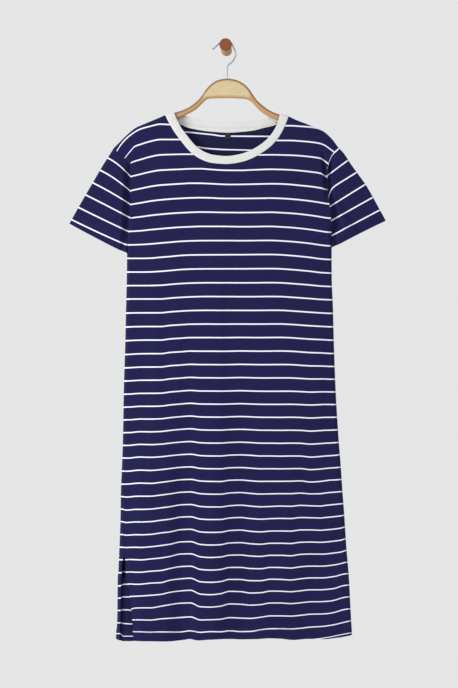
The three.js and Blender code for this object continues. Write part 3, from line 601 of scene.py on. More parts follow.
def wall(name, points, normals, thickness, side, closed, fields):
    """A closed wall between outer points and the same points moved in, with its vertex fields."""
    high, wide = points.shape[:2]
    inside = points - normals * thickness[..., None]
    vertices = np.concatenate([points.reshape(-1, 3), inside.reshape(-1, 3)])
    n = high * wide
    index = np.arange(n).reshape(high, wide)
    if closed:
        index = np.concatenate([index, index[:, :1]], 1)
    a, b = index[:-1, :-1], index[:-1, 1:]
    c, d = index[1:, 1:], index[1:, :-1]
    outer = np.stack([d, c, b, a], -1).reshape(-1, 4)
    rims = [between(index[0], index[0] + n), between(index[-1] + n, index[-1])]
    if not closed:
        first, last = index[::-1, 0], index[::-1, -1]
        rims += [between(first, first + n), between(last + n, last)]
    faces = np.concatenate([outer, outer[:, ::-1] + n] + rims)
    if side < 0:
        faces = faces[:, ::-1]
    obj = finish_mesh(name, vertices, faces.tolist())
    mesh = obj.data
    rim_corners = 4 * sum(len(rim) for rim in rims)
    edges = np.zeros(len(mesh.loops), int)
    mesh.loops.foreach_get("edge_index", edges)
    sharp = np.zeros(len(mesh.edges), bool)
    sharp[np.intersect1d(edges[:-rim_corners], edges[-rim_corners:])] = True
    mesh.attributes.new("sharp_edge", "BOOLEAN", "EDGE").data.foreach_set("value", sharp)
    uv = np.stack([np.tile(lengths(points, axis).ravel(), 2) for axis in (1, 0)], -1) * MM
    corner = np.zeros(len(mesh.loops), int)
    mesh.loops.foreach_get("vertex_index", corner)
    mesh.uv_layers.new(name="cloth").data.foreach_set("uv", uv[corner].ravel())
    for field, values in fields.items():
        set_field(mesh, field, np.tile(values.ravel(), 2))
    # The painted shade of the inner face, fading towards the hem
    inner_face = 1 - REVERSE_LESS * smooth((REVERSE_FADE_Z - points[..., 2].ravel()) / REVERSE_FADE)
    set_field(mesh, "reverse_and_shade", np.concatenate([0 * inner_face, inner_face]))
    return obj


def shown_as(obj, node, material):
    """obj stands for that solid, takes the given material as its finish and rides with the whole."""
    obj.data.materials.append(material)
    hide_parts(node)
    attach(obj, "root")
    return obj


class Nodes:
    """Short calls for the nodes of one material."""

    def __init__(self, name, **settings):
        self.material = bpy.data.materials.new(name)
        self.material.use_nodes = True
        self.tree = self.material.node_tree
        self.shader = self.tree.nodes["Principled BSDF"]
        for socket, value in settings.items():
            self.shader.inputs[socket.replace("_", " ")].default_value = value

    def put(self, value, socket):
        if isinstance(value, bpy.types.NodeSocket):
            self.tree.links.new(value, socket)
        elif isinstance(value, tuple) and len(value) == 3 and socket.type == "RGBA":
            socket.default_value = (*value, 1)
        else:
            socket.default_value = value

    def node(self, kind, values=(), **properties):
        made = self.tree.nodes.new(kind)
        for key, value in properties.items():
            setattr(made, key, value)
        for key, value in dict(values).items():
            self.put(value, made.inputs[key])
        return made

    def math(self, operation, *values):
        return self.node("ShaderNodeMath", enumerate(values), operation=operation).outputs[0]

    def distance(self, a, b):
        return self.math("SQRT", self.add(self.math("POWER", a, 2.0), self.math("POWER", b, 2.0)))

    def add(self, a, b):
        return self.math("ADD", a, b)

    def times(self, a, b):
        return self.math("MULTIPLY", a, b)

    def cycle(self, value, length):
        """Distance from the middle of each length, from 0 to half."""
        turn = self.math("FRACT", self.math("DIVIDE", value, length))
        return self.math("ABSOLUTE", self.add(turn, -0.5))

    def wave(self, value, length, kind="SINE"):
        return self.math(kind, self.times(value, 2 * math.pi / length))

    def field(self, name):
        return self.node("ShaderNodeAttribute", attribute_name=name).outputs["Fac"]

    def uv(self):
        vector = self.node("ShaderNodeUVMap", uv_map="cloth").outputs[0]
        parts = self.node("ShaderNodeSeparateXYZ", {0: vector}).outputs
        return vector, parts[0], parts[1]

    def place(self):
        vector = self.node("ShaderNodeTexCoord").outputs["Object"]
        return vector, self.node("ShaderNodeSeparateXYZ", {0: vector}).outputs

    def stretched(self, vector, x, y, z):
        return self.node("ShaderNodeMapping", {"Vector": vector, "Scale": (x, y, z)}).outputs[0]

    def noise(self, vector, scale, detail=2.0, rough=0.5):
        values = {"Vector": vector, "Scale": scale, "Detail": detail, "Roughness": rough}
        return self.node("ShaderNodeTexNoise", values).outputs[0]

    def step(self, value, low, high, to_low=0.0, to_high=1.0):
        values = {0: value, 1: low, 2: high, 3: to_low, 4: to_high}
        return self.node("ShaderNodeMapRange", values, interpolation_type="SMOOTHSTEP").outputs[0]

    def blend(self, factor, a, b):
        values = {0: factor, 6: a, 7: b}
        return self.node("ShaderNodeMix", values, data_type="RGBA").outputs[2]

    def shade(self, colour, factor):
        """colour times a grey factor"""
        grey = self.node("ShaderNodeCombineXYZ", {0: factor, 1: factor, 2: factor}).outputs[0]
        values = {0: 1.0, 6: colour, 7: grey}
        return self.node("ShaderNodeMix", values, data_type="RGBA", blend_type="MULTIPLY").outputs[2]

    def bump(self, height, distance, strength=1.0, normal=None):
        values = {"Height": height, "Distance": distance, "Strength": strength}
        if normal is not None:
            values["Normal"] = normal
        return self.node("ShaderNodeBump", values).outputs[0]

    def finish(self, colour, normal=None, roughness=None):
        self.put(colour, self.shader.inputs["Base Color"])
        if normal is not None:
            self.put(normal, self.shader.inputs["Normal"])
        if roughness is not None:
            self.put(roughness, self.shader.inputs["Roughness"])
        return self.material


# Sizes of knits, weaves and grain in metres
WALE = 0.00085
COURSE = 0.00068
RIB_WALE = 0.0021
RIB_COURSE = 0.0008
TWILL = 0.0011
LABEL_WARP = 0.0006
LABEL_WEFT = 0.0004
PEG_RING = 0.0022
# Rows of stitches: distances from an edge in mm
HEM_STITCHES = (19.5, 23.0)
SLIT_STITCHES = (8.0,)
TAPE_STITCHES = (1.4, 9.6)
# Colours, in pairs where a noise blends the two
NAVY = (0.0098, 0.0093, 0.0560)
NAVY_DEEP = (0.0073, 0.0069, 0.0437)
# Darker inner-face navy: partly the knit's reverse side, partly painted shade
NAVY_REVERSE_AND_SHADE = (0.0066, 0.0068, 0.0240)
STRIPE_WHITE = (0.76, 0.757, 0.84)
THREAD = (0.0227, 0.0219, 0.081)
RIB_WHITES = ((0.625, 0.63, 0.607), (0.585, 0.59, 0.567))
TAPE_WHITES = ((0.68, 0.682, 0.66), (0.64, 0.642, 0.62))
LABEL_BLACKS = ((0.008, 0.008, 0.01), (0.015, 0.015, 0.018))
BLOCK_WOOD = ((0.535, 0.44, 0.265), (0.465, 0.352, 0.19))
ARM_WOOD = ((0.43, 0.255, 0.12), (0.36, 0.205, 0.09))
# Painted light and shade on the hanger's rounded edges: a lighter orange along the low edge, a dark painted
# shade along the top edge
LOW_RIM_PAINTED_LIGHT = (0.4, 0.22, 0.095)
TOP_RIM_PAINTED_SHADE = (0.19, 0.095, 0.04)
PEG_FACE_WOOD = ((0.212, 0.07, 0.0275), (0.164, 0.051, 0.0192))
# The shaft is lighter partly as the wood's own side grain, partly as painted sheen and light from below
PEG_SHAFT_WOOD_AND_SHEEN = ((0.425, 0.253, 0.152), (0.335, 0.18, 0.096))
# A darker ring round the edge of the peg's end
PEG_DARK_RING = (0.1, 0.04, 0.022)
STEEL = ((0.46, 0.46, 0.49), (0.38, 0.38, 0.42))
FLOOR_GREYS = ((0.8, 0.8, 0.8), (0.77, 0.77, 0.775))
ROOM_COLOUR = (0.8, 0.803, 0.81, 1)
ROOM_STRENGTH = 0.98


def knit_height(n, u, v):
    """Columns of V-shaped loops, from 0 in the grooves to 1 on the yarn."""
    across = n.cycle(u, WALE)
    wale = n.math("COSINE", n.times(across, math.pi))
    row = n.math("SINE", n.times(n.add(n.math("DIVIDE", v, COURSE), across), 2 * math.pi))
    return n.add(n.times(wale, 0.6), n.times(n.add(row, 1.0), 0.2))


def stitches(n, distance, along, lines, length=0.0026):
    """1 on lines of dashes at those distances in mm from an edge, else 0."""
    dash = n.step(n.cycle(along, length), 0.44, 0.36)
    found = 0.0
    for line in lines:
        near = n.math("ABSOLUTE", n.add(distance, -line))
        found = n.math("MAXIMUM", found, n.step(near, 0.55, 0.2))
    return n.times(found, dash)


def jersey():
    n = Nodes("jersey", Roughness=0.9, Specular_IOR_Level=0.12, Sheen_Weight=0.05,
              Sheen_Roughness=0.5, Sheen_Tint=(0.4, 0.42, 0.9, 1))
    vector, u, v = n.uv()
    ragged = n.times(n.add(n.noise(vector, 900), -0.5), 0.014)
    phase = n.math("FRACT", n.add(n.add(n.field("stripe"), 0.5), ragged))
    away = n.math("ABSOLUTE", n.add(phase, -0.5))
    half = n.field("stripe_half")
    white = n.step(away, n.add(half, 0.012), n.add(half, -0.012))
    patchy = n.step(n.noise(vector, 14, 3.0), 0.3, 0.7)
    heather = n.noise(vector, 420, 2.0, 0.7)
    navy = n.blend(n.add(n.times(patchy, 0.35), n.times(heather, 0.5)), NAVY, NAVY_DEEP)
    navy = n.shade(navy, n.add(0.8, n.times(heather, 0.42)))
    # Inner faces painted darker: partly the knit's duller reverse side, partly painted shade inside the
    # dress
    navy = n.blend(n.times(n.field("reverse_and_shade"), 0.45), navy, NAVY_REVERSE_AND_SHADE)
    pale = n.shade(STRIPE_WHITE, n.add(0.93, n.times(heather, 0.1)))
    knit = knit_height(n, u, v)
    # The knit's grooves are painted darker and its yarn a little lighter: painted shade in the loops
    colour = n.shade(n.blend(white, navy, pale), n.step(knit, 0.1, 0.9, 0.84, 1.06))
    seams = n.math("MAXIMUM", stitches(n, n.field("hem"), u, HEM_STITCHES),
                   stitches(n, n.field("slit"), v, SLIT_STITCHES))
    colour = n.blend(n.times(seams, 0.85), colour, THREAD)
    crease = n.noise(vector, 60, 4.0, 0.6)
    normal = n.bump(crease, 0.0012, 0.35)
    normal = n.bump(knit, 0.00022, 0.7, normal)
    normal = n.bump(seams, 0.0004, 0.8, normal)
    return n.finish(colour, normal)


def rib():
    n = Nodes("rib", Roughness=0.9, Specular_IOR_Level=0.25, Sheen_Weight=0.1, Sheen_Roughness=0.5)
    vector, u, v = n.uv()
    ridge = n.wave(u, RIB_WALE, "COSINE")
    row = n.wave(v, RIB_COURSE)
    height = n.add(n.times(ridge, 0.5), n.times(row, 0.12))
    fuzz = n.noise(vector, 500, 3.0, 0.7)
    colour = n.blend(n.noise(vector, 25), *RIB_WHITES)
    # The rib's grooves are painted darker: painted shade between the ribs
    colour = n.shade(colour, n.step(n.add(height, n.times(fuzz, 0.4)), -0.5, 0.7, 0.86, 1.04))
    normal = n.bump(n.noise(vector, 70, 3.0), 0.001, 0.3)
    return n.finish(colour, n.bump(height, 0.0005, 0.8, normal))


def tape_cloth():
    n = Nodes("tape", Roughness=0.85, Specular_IOR_Level=0.3)
    vector, u, v = n.uv()
    twill = n.wave(n.add(u, v), TWILL)
    edge = stitches(n, n.times(v, 1000.0), u, TAPE_STITCHES, 0.003)
    colour = n.blend(n.noise(vector, 60), *TAPE_WHITES)
    # The twill's grooves are painted darker: painted shade in the weave
    colour = n.shade(colour, n.step(twill, -1.0, 1.0, 0.92, 1.03))
    colour = n.shade(colour, n.step(edge, 0.0, 1.0, 1.0, 0.93))
    normal = n.bump(twill, 0.0002, 0.8)
    return n.finish(colour, n.bump(edge, 0.0003, 0.8, normal))


def label_cloth():
    n = Nodes("label", Roughness=0.7, Specular_IOR_Level=0.2, Sheen_Weight=0.05)
    vector, u, v = n.uv()
    weave = n.times(n.wave(u, LABEL_WARP), n.wave(v, LABEL_WEFT))
    colour = n.blend(n.noise(vector, 300), *LABEL_BLACKS)
    # The weave is painted darker between the threads and lighter on them: painted shade and highlight
    colour = n.shade(colour, n.step(weave, -1.0, 1.0, 0.7, 1.4))
    return n.finish(colour, n.bump(weave, 0.00012, 0.8))


def hanger_wood():
    n = Nodes("hanger_wood", Roughness=0.5, Specular_IOR_Level=0.2, Coat_Weight=0.06,
              Coat_Roughness=0.3)
    vector, _, _ = n.uv()
    grain = n.noise(n.stretched(vector, 1.0, 14.0, 1.0), 22, 5.0, 0.65)
    pores = n.noise(n.stretched(vector, 1.0, 22.0, 1.0), 150, 3.0, 0.7)
    block = n.blend(n.step(grain, 0.3, 0.7), *BLOCK_WOOD)
    arm = n.blend(n.step(grain, 0.3, 0.7), *ARM_WOOD)
    colour = n.blend(n.field("arm"), block, arm)
    # Painted light along the low edge and painted shade along the top edge of the wood
    colour = n.blend(n.times(n.field("low_rim_painted_light"), 0.8), colour, LOW_RIM_PAINTED_LIGHT)
    colour = n.blend(n.times(n.field("top_rim_painted_shade"), 0.9), colour, TOP_RIM_PAINTED_SHADE)
    colour = n.shade(colour, n.step(pores, 0.35, 0.7, 0.9, 1.05))
    normal = n.bump(n.add(n.times(grain, 0.5), pores), 0.0002, 0.35)
    return n.finish(colour, normal, n.step(grain, 0.2, 0.8, 0.36, 0.5))


def peg_wood():
    n = Nodes("peg_wood", Roughness=0.6, Specular_IOR_Level=0.12, Coat_Weight=0.03,
              Coat_Roughness=0.3)
    vector, (x, y, z) = n.place()
    bent = n.times(n.add(n.noise(vector, 60), -0.5), 0.006)
    away = n.distance(n.add(x, 0.004), n.add(z, 0.003))
    rings = n.wave(n.add(away, bent), PEG_RING)
    streaks = n.noise(n.stretched(vector, 1.0, 0.06, 1.0), 700, 4.0, 0.6)
    face = n.blend(n.step(rings, -1.0, 1.0), *PEG_FACE_WOOD)
    # The shaft is painted lighter than the end face: partly the end grain being darker, partly painted
    # sheen and light from below on the shaft
    shaft_and_sheen = n.blend(n.step(streaks, 0.3, 0.7), *PEG_SHAFT_WOOD_AND_SHEEN)
    colour = n.blend(n.step(y, -0.0485, -0.0465), face, shaft_and_sheen)
    # A darker ring round the edge of the peg's end
    dark_ring = n.times(n.step(n.distance(n.add(x, 0.0021), z), 0.0112, 0.0126),
                    n.step(y, -0.0455, -0.0475))
    colour = n.blend(n.times(dark_ring, 0.6), colour, PEG_DARK_RING)
    normal = n.bump(n.add(streaks, n.times(rings, 0.2)), 0.0002, 0.3)
    return n.finish(colour, normal, n.step(streaks, 0.2, 0.8, 0.42, 0.6))


def wire_metal():
    n = Nodes("wire", Metallic=1.0, Roughness=0.42)
    vector, _, _ = n.uv()
    drawn = n.noise(n.stretched(vector, 1.0, 30.0, 1.0), 60, 3.0, 0.6)
    colour = n.blend(drawn, *STEEL)
    return n.finish(colour, n.bump(drawn, 0.00005, 0.08), n.step(drawn, 0.2, 0.8, 0.36, 0.48))


def floor_paint():
    n = Nodes("floor", Roughness=0.9)
    vector, _ = n.place()
    return n.finish(n.blend(n.noise(vector, 3.0), *FLOOR_GREYS))


JERSEY = jersey()

# Body panels
neck_ends = [NECK_FRONT[0], NECK_FRONT[-1]]
PANELS = {}
for panel_side, panel_neck, panel_name, panel_rows in (
        (1, NECK_FRONT, "front", FRONT_ROWS),
        (-1, [neck_ends[0]] + NECK_BACK + [neck_ends[1]], "back", BACK_ROWS)):
    points, slit = panel_points(panel_side, panel_neck)
    normals = grid_normals(points, panel_side, False)
    flat_top = unit(normals[0] * [1, 0, 1])
    before = len(SHOULDER_LEFT) * TOP_FINE + 1
    after = len(flat_top) - 1 - len(SHOULDER_RIGHT) * TOP_FINE
    normals[0, :before] = flat_top[:before]
    normals[0, after:] = flat_top[after:]
    hem = np.abs(points[..., 2] - points[-1:, :, 2])
    hem[:UPPER_ROWS] = FAR
    thick = np.where(hem < HEM_DEEP, HEM_CLOTH, CLOTH)
    phase, pitch = stripe_phase(points, panel_rows)
    half = mix(STRIPE_WIDE, STRIPE_LOW_WIDE, ramp(*STRIPE_LOW_Z, points[..., 2])) / 2 / pitch
    half = half * (1 - STRIPE_LAST_THINNER * smooth((phase - STRIPE_LAST) / 0.4))
    fields = {"stripe": phase, "stripe_half": half, "hem": hem, "slit": slit}
    obj = wall("dress_" + panel_name, points, normals, thick, panel_side, False, fields)
    shown_as(obj, panel_name + "_panel", JERSEY)
    PANELS[panel_side] = (points, normals)


def along(points, share):
    """Point at a share of the length of a short line of points."""
    points = np.array(points, float)
    done = np.concatenate([[0], np.cumsum(np.linalg.norm(np.diff(points, axis=0), axis=1))])
    at = share * done[-1]
    return np.array([cubic(done, points[:, 0], at), cubic(done, points[:, 1], at)])


def sleeve(name, fold, inner, bow, dip_wide, dip_early, stripes, outward):
    column = 0 if outward < 0 else -1
    (front, front_normals), (back, back_normals) = PANELS[1], PANELS[-1]
    up = np.arange(UPPER_ROWS - 1, 0, -1)
    seam = np.concatenate([front[:UPPER_ROWS + 1, column], back[up, column]])
    seam_normals = np.concatenate([front_normals[:UPPER_ROWS + 1, column], back_normals[up, column]])
    facing = np.concatenate([np.ones(UPPER_ROWS + 1), -np.ones(len(up))])
    facing[[0, UPPER_ROWS]] = 0
    root = seam[:, [0, 2]] + [SLEEVE_GAP * outward, 0]
    tip, armpit = root[0], root[UPPER_ROWS]
    part = ((tip[1] - root[:, 1]) / (tip[1] - armpit[1]))[:, None]
    hem = np.array([fold[-1], inner], float)
    straight = mix(hem[0], hem[1], part)
    half = np.abs(seam[:, 1] - MIDDLE_Y)
    fullness = np.where(facing == 0, 0, np.minimum(half / SLEEVE_FULL_AT, 1))
    rest = MIDDLE_Y - facing * SLEEVE_HALF_DEPTH * fullness
    start = np.where(facing == 0, MIDDLE_Y, seam[:, 1])
    reach = np.abs(straight[:, 0] - root[:, 0])
    wide = mix(*dip_wide, ramp(*SLEEVE_DIP_WIDENS, part[:, 0]))
    dip_end = np.clip(wide / np.maximum(reach, 1), 0.02, SLEEVE_DIP_WIDEST)
    dip_deep = np.where(facing > 0, SLEEVE_DIP, -SLEEVE_BACK_DIP) * fullness
    dip_deep = dip_deep * ramp(*SLEEVE_DIP_BEGINS, part[:, 0])
    end_share = ramp(SLEEVE_END_FROM, 1, part[:, 0])
    rows = []
    for down in np.concatenate([np.linspace(*span) for span in SLEEVE_ROWS]):
        fold_at = along(fold, down) + [SLEEVE_GAP * outward * (1 - down), 0]
        hem_at = straight - bow * 4 * part * (1 - part) * [0, down]
        flat = (mix(root, hem_at, down) + mix(fold_at, mix(armpit, hem[1], down), part)
                - mix(mix(tip, armpit, part), straight, down))
        dip = dip_deep * np.sin(math.pi * clamp01(down / dip_end) ** dip_early)
        y = mix(start, rest, smooth(down / SLEEVE_FLAT_FROM)) + dip
        at_end = end_share * smooth(down / SLEEVE_END_BY)
        nearer = SLEEVE_END_NEARER * at_end
        y = np.where(facing > 0, np.minimum(y, MIDDLE_Y - nearer), y - nearer)
        x = flat[:, 0] - outward * SLEEVE_END_IN * at_end
        rows.append(np.stack([x, y, flat[:, 1]], -1))
    points = np.stack(rows)
    side = -outward
    normals = grid_normals(points, side, True)
    keep = normals[0, UPPER_ROWS].copy()
    normals[0] = seam_normals
    normals[0, UPPER_ROWS] = keep
    tucked = points[0] - seam_normals * (CLOTH + SEAM) - [SLEEVE_TUCK * outward, 0, 0]
    points = np.concatenate([tucked[None], points])
    normals = np.concatenate([normals[:1], normals])
    to_hem = lengths(points[::-1], 0)[::-1]
    thick = np.where(to_hem < HEM_DEEP, HEM_CLOTH, CLOTH)
    phase, pitch = sleeve_phase(points, stripes, outward)
    fields = {"stripe": phase, "stripe_half": STRIPE_WIDE / 2 / pitch, "hem": to_hem,
              "slit": np.full(to_hem.shape, SLIT_FAR)}
    obj = wall("sleeve_" + name, points, normals, thick, side, True, fields)
    return shown_as(obj, name + "_sleeve", JERSEY)


for sleeve_name, measures in SLEEVES.items():
    sleeve(sleeve_name, **measures)


def loft(name, sections, ring, fields=None):
    """A closed body through sections of points, either a ring or capped at both ends."""
    count, around = sections.shape[:2]
    index = np.arange(count * around).reshape(count, around)
    index = np.concatenate([index, index[:, :1]], 1)
    if ring:
        index = np.concatenate([index, index[:1]], 0)
    faces = np.stack([index[:-1, :-1], index[1:, :-1], index[1:, 1:], index[:-1, 1:]], -1)
    faces = faces.reshape(-1, 4).tolist()
    if not ring:
        faces.append(list(range(around)))
        faces.append(list(range(count * around - 1, (count - 1) * around - 1, -1)))
    obj = finish_mesh(name, sections.reshape(-1, 3), faces)
    mesh = obj.data
    closed = np.concatenate([sections, sections[:1]], 0) if ring else sections
    closed = np.concatenate([closed, closed[:, :1]], 1)
    run = lengths(closed, 0)
    wrap = lengths(closed, 1)
    run = np.tile(run.mean(1, keepdims=True), (1, run.shape[1]))
    both = np.stack([run, wrap], -1)
    uv = np.stack([both[:-1, :-1], both[1:, :-1], both[1:, 1:], both[:-1, 1:]], 2).reshape(-1, 2)
    flat = np.zeros((len(mesh.loops), 2))
    flat[:len(uv)] = uv * MM
    mesh.uv_layers.new(name="cloth").data.foreach_set("uv", flat.ravel())
    for field, values in (fields or {}).items():
        set_field(mesh, field, values)
    return obj


def rounded(count, power):
    """Points of a flattened round section, from -1 to 1 both ways."""
    angle = np.linspace(0, 2 * math.pi, count, endpoint=False)
    a = np.sign(np.cos(angle)) * np.abs(np.cos(angle)) ** power
    b = np.sign(np.sin(angle)) * np.abs(np.sin(angle)) ** power
    return a, b


BAND_PROUD = 0.6
BAND_CLOTH = 2.3
BAND_GAP = 0.4
BAND_STATIONS = 420
BAND_AROUND = 28
BAND_SQUARE = 0.32
BAND_CROWN = 0.35


def neckband():
    back = [(a, b, c, d, -e) for a, b, c, d, e in NECK_BACK[::-1]]
    rows = np.array(NECK_FRONT + back, float)
    n = len(rows)
    three = np.concatenate([rows, rows, rows])
    keys = np.arange(3 * n)
    fine = np.linspace(n, 2 * n, n * 24, endpoint=False)
    columns = np.stack([cubic(keys, three[:, k], fine) for k in range(5)], -1)

    def seat(x, z, turned):
        return np.stack([x, cloth_y(x, z, np.sin(np.radians(turned))), z], -1)

    seams = seat(columns[:, 0], columns[:, 1], columns[:, 4])
    steps = np.linalg.norm(np.roll(seams, -1, 0) - seams, axis=1)
    done = np.concatenate([[0], np.cumsum(steps)])
    at = np.linspace(0, done[-1], BAND_STATIONS, endpoint=False)
    wrapped = np.concatenate([columns, columns[:1]])
    columns = np.stack([np.interp(at, done, wrapped[:, k]) for k in range(5)], -1)
    seams = seat(columns[:, 0], columns[:, 1], columns[:, 4])
    edges = seat(columns[:, 2], columns[:, 3], columns[:, 4])
    width = edges - seams
    tangent = np.roll(seams, -1, 0) - np.roll(seams, 1, 0)
    out = unit(np.cross(tangent, width))
    wide = np.linalg.norm(width, axis=1, keepdims=True)
    inward = width / wide
    a, b = rounded(BAND_AROUND, BAND_SQUARE)
    share = (a + 1) / 2
    crown = BAND_CROWN * np.sin(math.pi * share)
    height = BAND_PROUD - BAND_CLOTH / 2 + b * BAND_CLOTH / 2 + crown
    sections = (seams[:, None] + inward[:, None] * (BAND_GAP + share * (wide - BAND_GAP))[..., None]
                + out[:, None] * height[None, :, None])
    return loft("neck_rib", sections[:, ::-1], True)


shown_as(neckband(), "neckband", rib())


def inside_strip(name, x, top, bottom, in_front, thick, rows, curl=0.0):
    """A strip in front of the back panel's inner face."""
    share = np.linspace(0, 1, rows)[:, None]
    z = mix(top, bottom, share)
    x = np.tile(x, (rows, 1))
    z = z + 0 * x
    y = cloth_y(x, z, -1.0) - in_front - curl * share ** 2
    points = np.stack([x, y, z], -1)
    normals = np.zeros_like(points)
    normals[..., 1] = 1
    return wall(name, points, normals, np.full(x.shape, thick), -1, False, {})


TAPE_OVER_BAND = 4.5
TAPE_THICK = 0.8
TAPE_BEFORE = 2.0
TAPE_END = 111.0
TAPE_LOW = table("x z", [
    (-112, -166), (-99, -170.2), (-89, -175.2), (-74, -179), (-57.4, -182.1), (-24.2, -186.1),
    (2.3, -187.5), (36, -185.5), (60.6, -182.4), (85, -176.2), (109.7, -170), (112, -168.6),
])
back_rows = np.array([r for r in NECK_BACK if r[4] == 90], float)
tape_x = np.linspace(-TAPE_END, TAPE_END, 120)
tape_z = cubic(back_rows[:, 0], back_rows[:, 1], tape_x)
tape_low = np.minimum(look(TAPE_LOW, "x", "z", tape_x), tape_z - 1)
tape = inside_strip("back_neck_tape", tape_x, tape_z + TAPE_OVER_BAND, tape_low, TAPE_BEFORE,
                    TAPE_THICK, 8)
shown_as(tape, "neck_tape", tape_cloth())

LABEL_X = (-3.2, 9.0)
LABEL_Z = (-186.5, -200.8)
LABEL_BEFORE = 1.6
LABEL_THICK = 0.4
LABEL_CURL = 0.8
label = inside_strip("bare_label", np.linspace(*LABEL_X, 12), *LABEL_Z, LABEL_BEFORE, LABEL_THICK, 14,
                     LABEL_CURL)
shown_as(label, "size_label", label_cloth())

HANGER_THICK = 9.0
HANGER_ENDS = (-211.0, 216.0)
HANGER_END_ROUND = 4.0
HANGER_STEEPEST = 1.8
# The block's colour ends and the arms' begins over these distances from the middle
HANGER_ARM_FROM = 46
HANGER_ARM_BY = 56
HANGER_TOP = table("x z", [
    (216, -199), (213, -193.2), (206, -188.2), (191.7, -181.6), (174, -173.3), (152, -163.8),
    (137.3, -155.8), (114.5, -148), (97, -140.8), (79, -128.4), (66, -116.2), (57, -103),
    (49, -91.6), (38, -81.2), (22, -73), (2, -69.6), (-17, -72.4), (-33, -81.4), (-44.5, -93),
    (-53, -106), (-66, -120.4), (-84, -133.6), (-101, -140.9), (-115.3, -145), (-135.5, -152.6),
    (-159, -163.6), (-180.5, -172.9), (-198, -181.8), (-206, -189.2), (-211, -195.5),
])
HANGER_LOW = table("x z", [
    (-211, -202), (-204, -206), (-190, -198.5), (-160, -180), (-130, -164.5), (-109, -158),
    (-90, -149.8), (-75, -142.2), (-64, -134.5), (-52, -123), (-45, -116.5), (-38, -113.6),
    (-20, -112.8), (2, -112.4), (30, -113.4), (42, -114.8), (50, -117.6), (57, -123), (66, -133),
    (78, -144), (90, -151.6), (108, -159.2), (130, -167), (160, -181), (192, -198), (207, -205.5),
    (216, -204),
])
# Section of the wood from the middle of the front face out to its rim, for the upper half:
# distance in from the outline, depth as a share of half the thickness, and the share of painted rim colour:
# painted shade on the top edge, painted light on the low edge
HANGER_SECTION = [
    (8.0, -1.0, 0.0), (6.4, -1.0, 0.0), (5.2, -0.99, 0.3), (4.0, -0.97, 0.9), (2.1, -0.9, 1.0),
    (1.0, -0.76, 1.0), (0.3, -0.5, 1.0), (0.0, -0.2, 1.0),
]


def hanger():
    first, last = HANGER_ENDS
    x = np.concatenate([first + np.array([0, 0.4, 1]), np.linspace(first + 2, last - 2, 260),
                        last - np.array([1, 0.4, 0])])
    top = look(HANGER_TOP, "x", "z", x)
    low = look(HANGER_LOW, "x", "z", x)
    ends = np.minimum(x - first, last - x) / HANGER_END_ROUND
    shrink = np.sqrt(1 - (1 - clamp01(ends)) ** 2) * 0.97 + 0.03
    middle, half = (top + low) / 2, (top - low) / 2 * shrink
    mirrored = [(inset, -depth, rim) for inset, depth, rim in HANGER_SECTION[::-1]]
    inset, depth, rim = np.array(HANGER_SECTION + mirrored).T
    most = np.linspace(0.93, 0.1, len(HANGER_SECTION))
    most = half[:, None] * np.concatenate([most, most[::-1]])
    upper_steep, lower_steep = [
        np.minimum(np.hypot(1, np.gradient(line, x)), HANGER_STEEPEST)[:, None] for line in (top, low)]
    upper = middle[:, None] + half[:, None] - np.minimum(inset * upper_steep, most)
    lower = middle[:, None] - half[:, None] + np.minimum(inset * lower_steep, most)
    z = np.concatenate([upper, lower[:, ::-1]], 1)
    y = MIDDLE_Y + HANGER_THICK / 2 * shrink[:, None] * np.concatenate([depth, depth[::-1]])
    sections = np.stack([np.tile(x[:, None], (1, z.shape[1])), y, z], -1)
    every = np.ones_like(z)
    # Where the painted light of the low edge and the painted shade of the top edge go
    low_rim_painted_light = np.concatenate([0 * rim, rim[::-1]]) * every
    top_rim_painted_shade = np.concatenate([rim, 0 * rim]) * every
    arm = ramp(HANGER_ARM_FROM, HANGER_ARM_BY, np.abs(x[:, None])) * every
    return loft("hanger_body", sections, False, {"top_rim_painted_shade": top_rim_painted_shade, "low_rim_painted_light": low_rim_painted_light, "arm": arm})


shown_as(hanger(), "hanger", hanger_wood())

WIRE_RADIUS = 1.6
WIRE_SIDES = 16
# The tip swells a little: by how much, how many stations before the end and over how many
TIP_SWELL = 0.25
TIP_AT = 6
TIP_LONG = 4.0
WIRE = [
    (1.4, -74), (1.4, -66), (1.5, -58), (1.7, -49), (2.6, -43), (6, -37.8), (12.4, -33.2),
    (16.4, -27.5), (19.6, -20.9), (20.2, -14), (18.4, -6.5), (15, 0.6), (10.2, 10), (0, 14.3),
    (-11.5, 11), (-20, 4.2), (-24.4, -0.6), (-28, -3.4), (-33.6, -4.8),
]


def catmull(points, steps):
    p = np.array(points, float)
    p = np.concatenate([2 * p[:1] - p[1:2], p, 2 * p[-1:] - p[-2:-1]])
    t = np.linspace(0, 1, steps, endpoint=False)[:, None]
    out = []
    for i in range(1, len(p) - 2):
        a, b, c, d = p[i - 1], p[i], p[i + 1], p[i + 2]
        out.append(0.5 * (2 * b + (c - a) * t + (2 * a - 5 * b + 4 * c - d) * t ** 2
                          + (3 * b - a - 3 * c + d) * t ** 3))
    return np.concatenate(out + [p[-2:-1]])


def hook():
    path = catmull(WIRE, 10)
    tangent = unit(np.gradient(path, axis=0))
    angle = np.linspace(0, 2 * math.pi, WIRE_SIDES, endpoint=False)
    left = np.arange(len(path))[::-1]
    bulb = 1 + TIP_SWELL * np.exp(-((left - TIP_AT) / TIP_LONG) ** 2)
    bulb = bulb * np.sqrt(clamp01((left + 0.6) / TIP_LONG))
    r = WIRE_RADIUS * bulb[:, None]
    side = np.stack([-tangent[:, 1], tangent[:, 0]], -1)
    x = path[:, :1] + side[:, :1] * np.cos(angle) * r
    z = path[:, 1:] + side[:, 1:] * np.cos(angle) * r
    y = MIDDLE_Y + np.sin(angle) * r
    return loft("hook_wire", np.stack([x, y, z], -1), False)


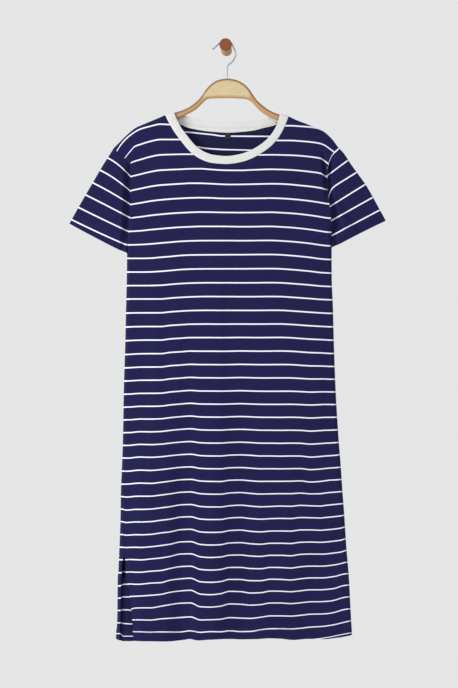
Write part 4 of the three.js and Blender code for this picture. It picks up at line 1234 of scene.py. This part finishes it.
shown_as(hook(), "hook", wire_metal())

PEG = table("out radius", [
    (0, 12.5), (12, 12.2), (28, 12.1), (40, 12.6), (47, 13.6), (49.3, 13.2), (50, 12.1),
])
PEG_LEAN = -2.1
PEG_SIDES = 64
# Rings on the peg's end: further out by, and radius
PEG_END = [(0, 11.3), (0.05, 6), (0.08, 2)]


def peg():
    at = np.concatenate([[0, 0.3], np.linspace(1, 47, 40), np.linspace(47.4, 49.2, 8),
                         np.linspace(49.35, 50, 6)])
    r = look(PEG, "out", "radius", at)
    r[0] -= 0.4
    further, end_radius = np.array(PEG_END).T
    at = np.concatenate([at, at[-1] + further])
    r = np.concatenate([r, end_radius])
    angle = np.linspace(0, 2 * math.pi, PEG_SIDES, endpoint=False)
    lean = PEG_LEAN * at[:, None] / at[-1]
    sections = np.stack([r[:, None] * np.cos(angle) + lean, -at[:, None] + 0 * angle,
                         r[:, None] * np.sin(angle)], -1)
    return loft("peg_turned", sections[:, ::-1], False)


shown_as(peg(), "wall_peg", peg_wood())

# Floor, light and camera. These lengths are in metres.
FLOOR_RADIUS = 0.64
FLOOR_BELOW = 0.35
bpy.ops.mesh.primitive_circle_add(vertices=96, radius=FLOOR_RADIUS, fill_type="NGON",
                                  location=(0, 0, cad_low[2] - FLOOR_BELOW))
floor = bpy.context.object
floor.name = "floor"
floor.data.materials.append(floor_paint())

world = bpy.data.worlds.new("room")
bpy.context.scene.world = world
world.use_nodes = True
background = world.node_tree.nodes["Background"].inputs
background["Color"].default_value = ROOM_COLOUR
background["Strength"].default_value = ROOM_STRENGTH


def lamp(name, place, aim, size, power):
    light = bpy.data.lights.new(name, "AREA")
    light.size = size
    light.energy = power
    obj = bpy.data.objects.new(name, light)
    bpy.context.scene.collection.objects.link(obj)
    obj.location = place
    away = np.array(place) - np.array(aim)
    obj.rotation_mode = "QUATERNION"
    obj.rotation_quaternion = Vector(away).to_track_quat("Z", "Y")
    return obj


lamp("key", (-2.5, -1.75, -0.3), (0, 0, -0.55), 1.3, 104)
lamp("fill", (0.8, -2.6, 0.1), (0, 0, -0.5), 1.8, 7)

camera_data = bpy.data.cameras.new("camera")
camera = bpy.data.objects.new("camera", camera_data)
bpy.context.scene.collection.objects.link(camera)
camera_data.sensor_width = SENSOR
camera_data.lens = FOCAL_PX / PICTURE_PX[1] * SENSOR
camera.location = [v * MM for v in EYE]
camera.rotation_euler = (math.pi / 2, 0, 0)
bpy.context.scene.camera = camera
bpy.context.scene.view_settings.view_transform = "Standard"
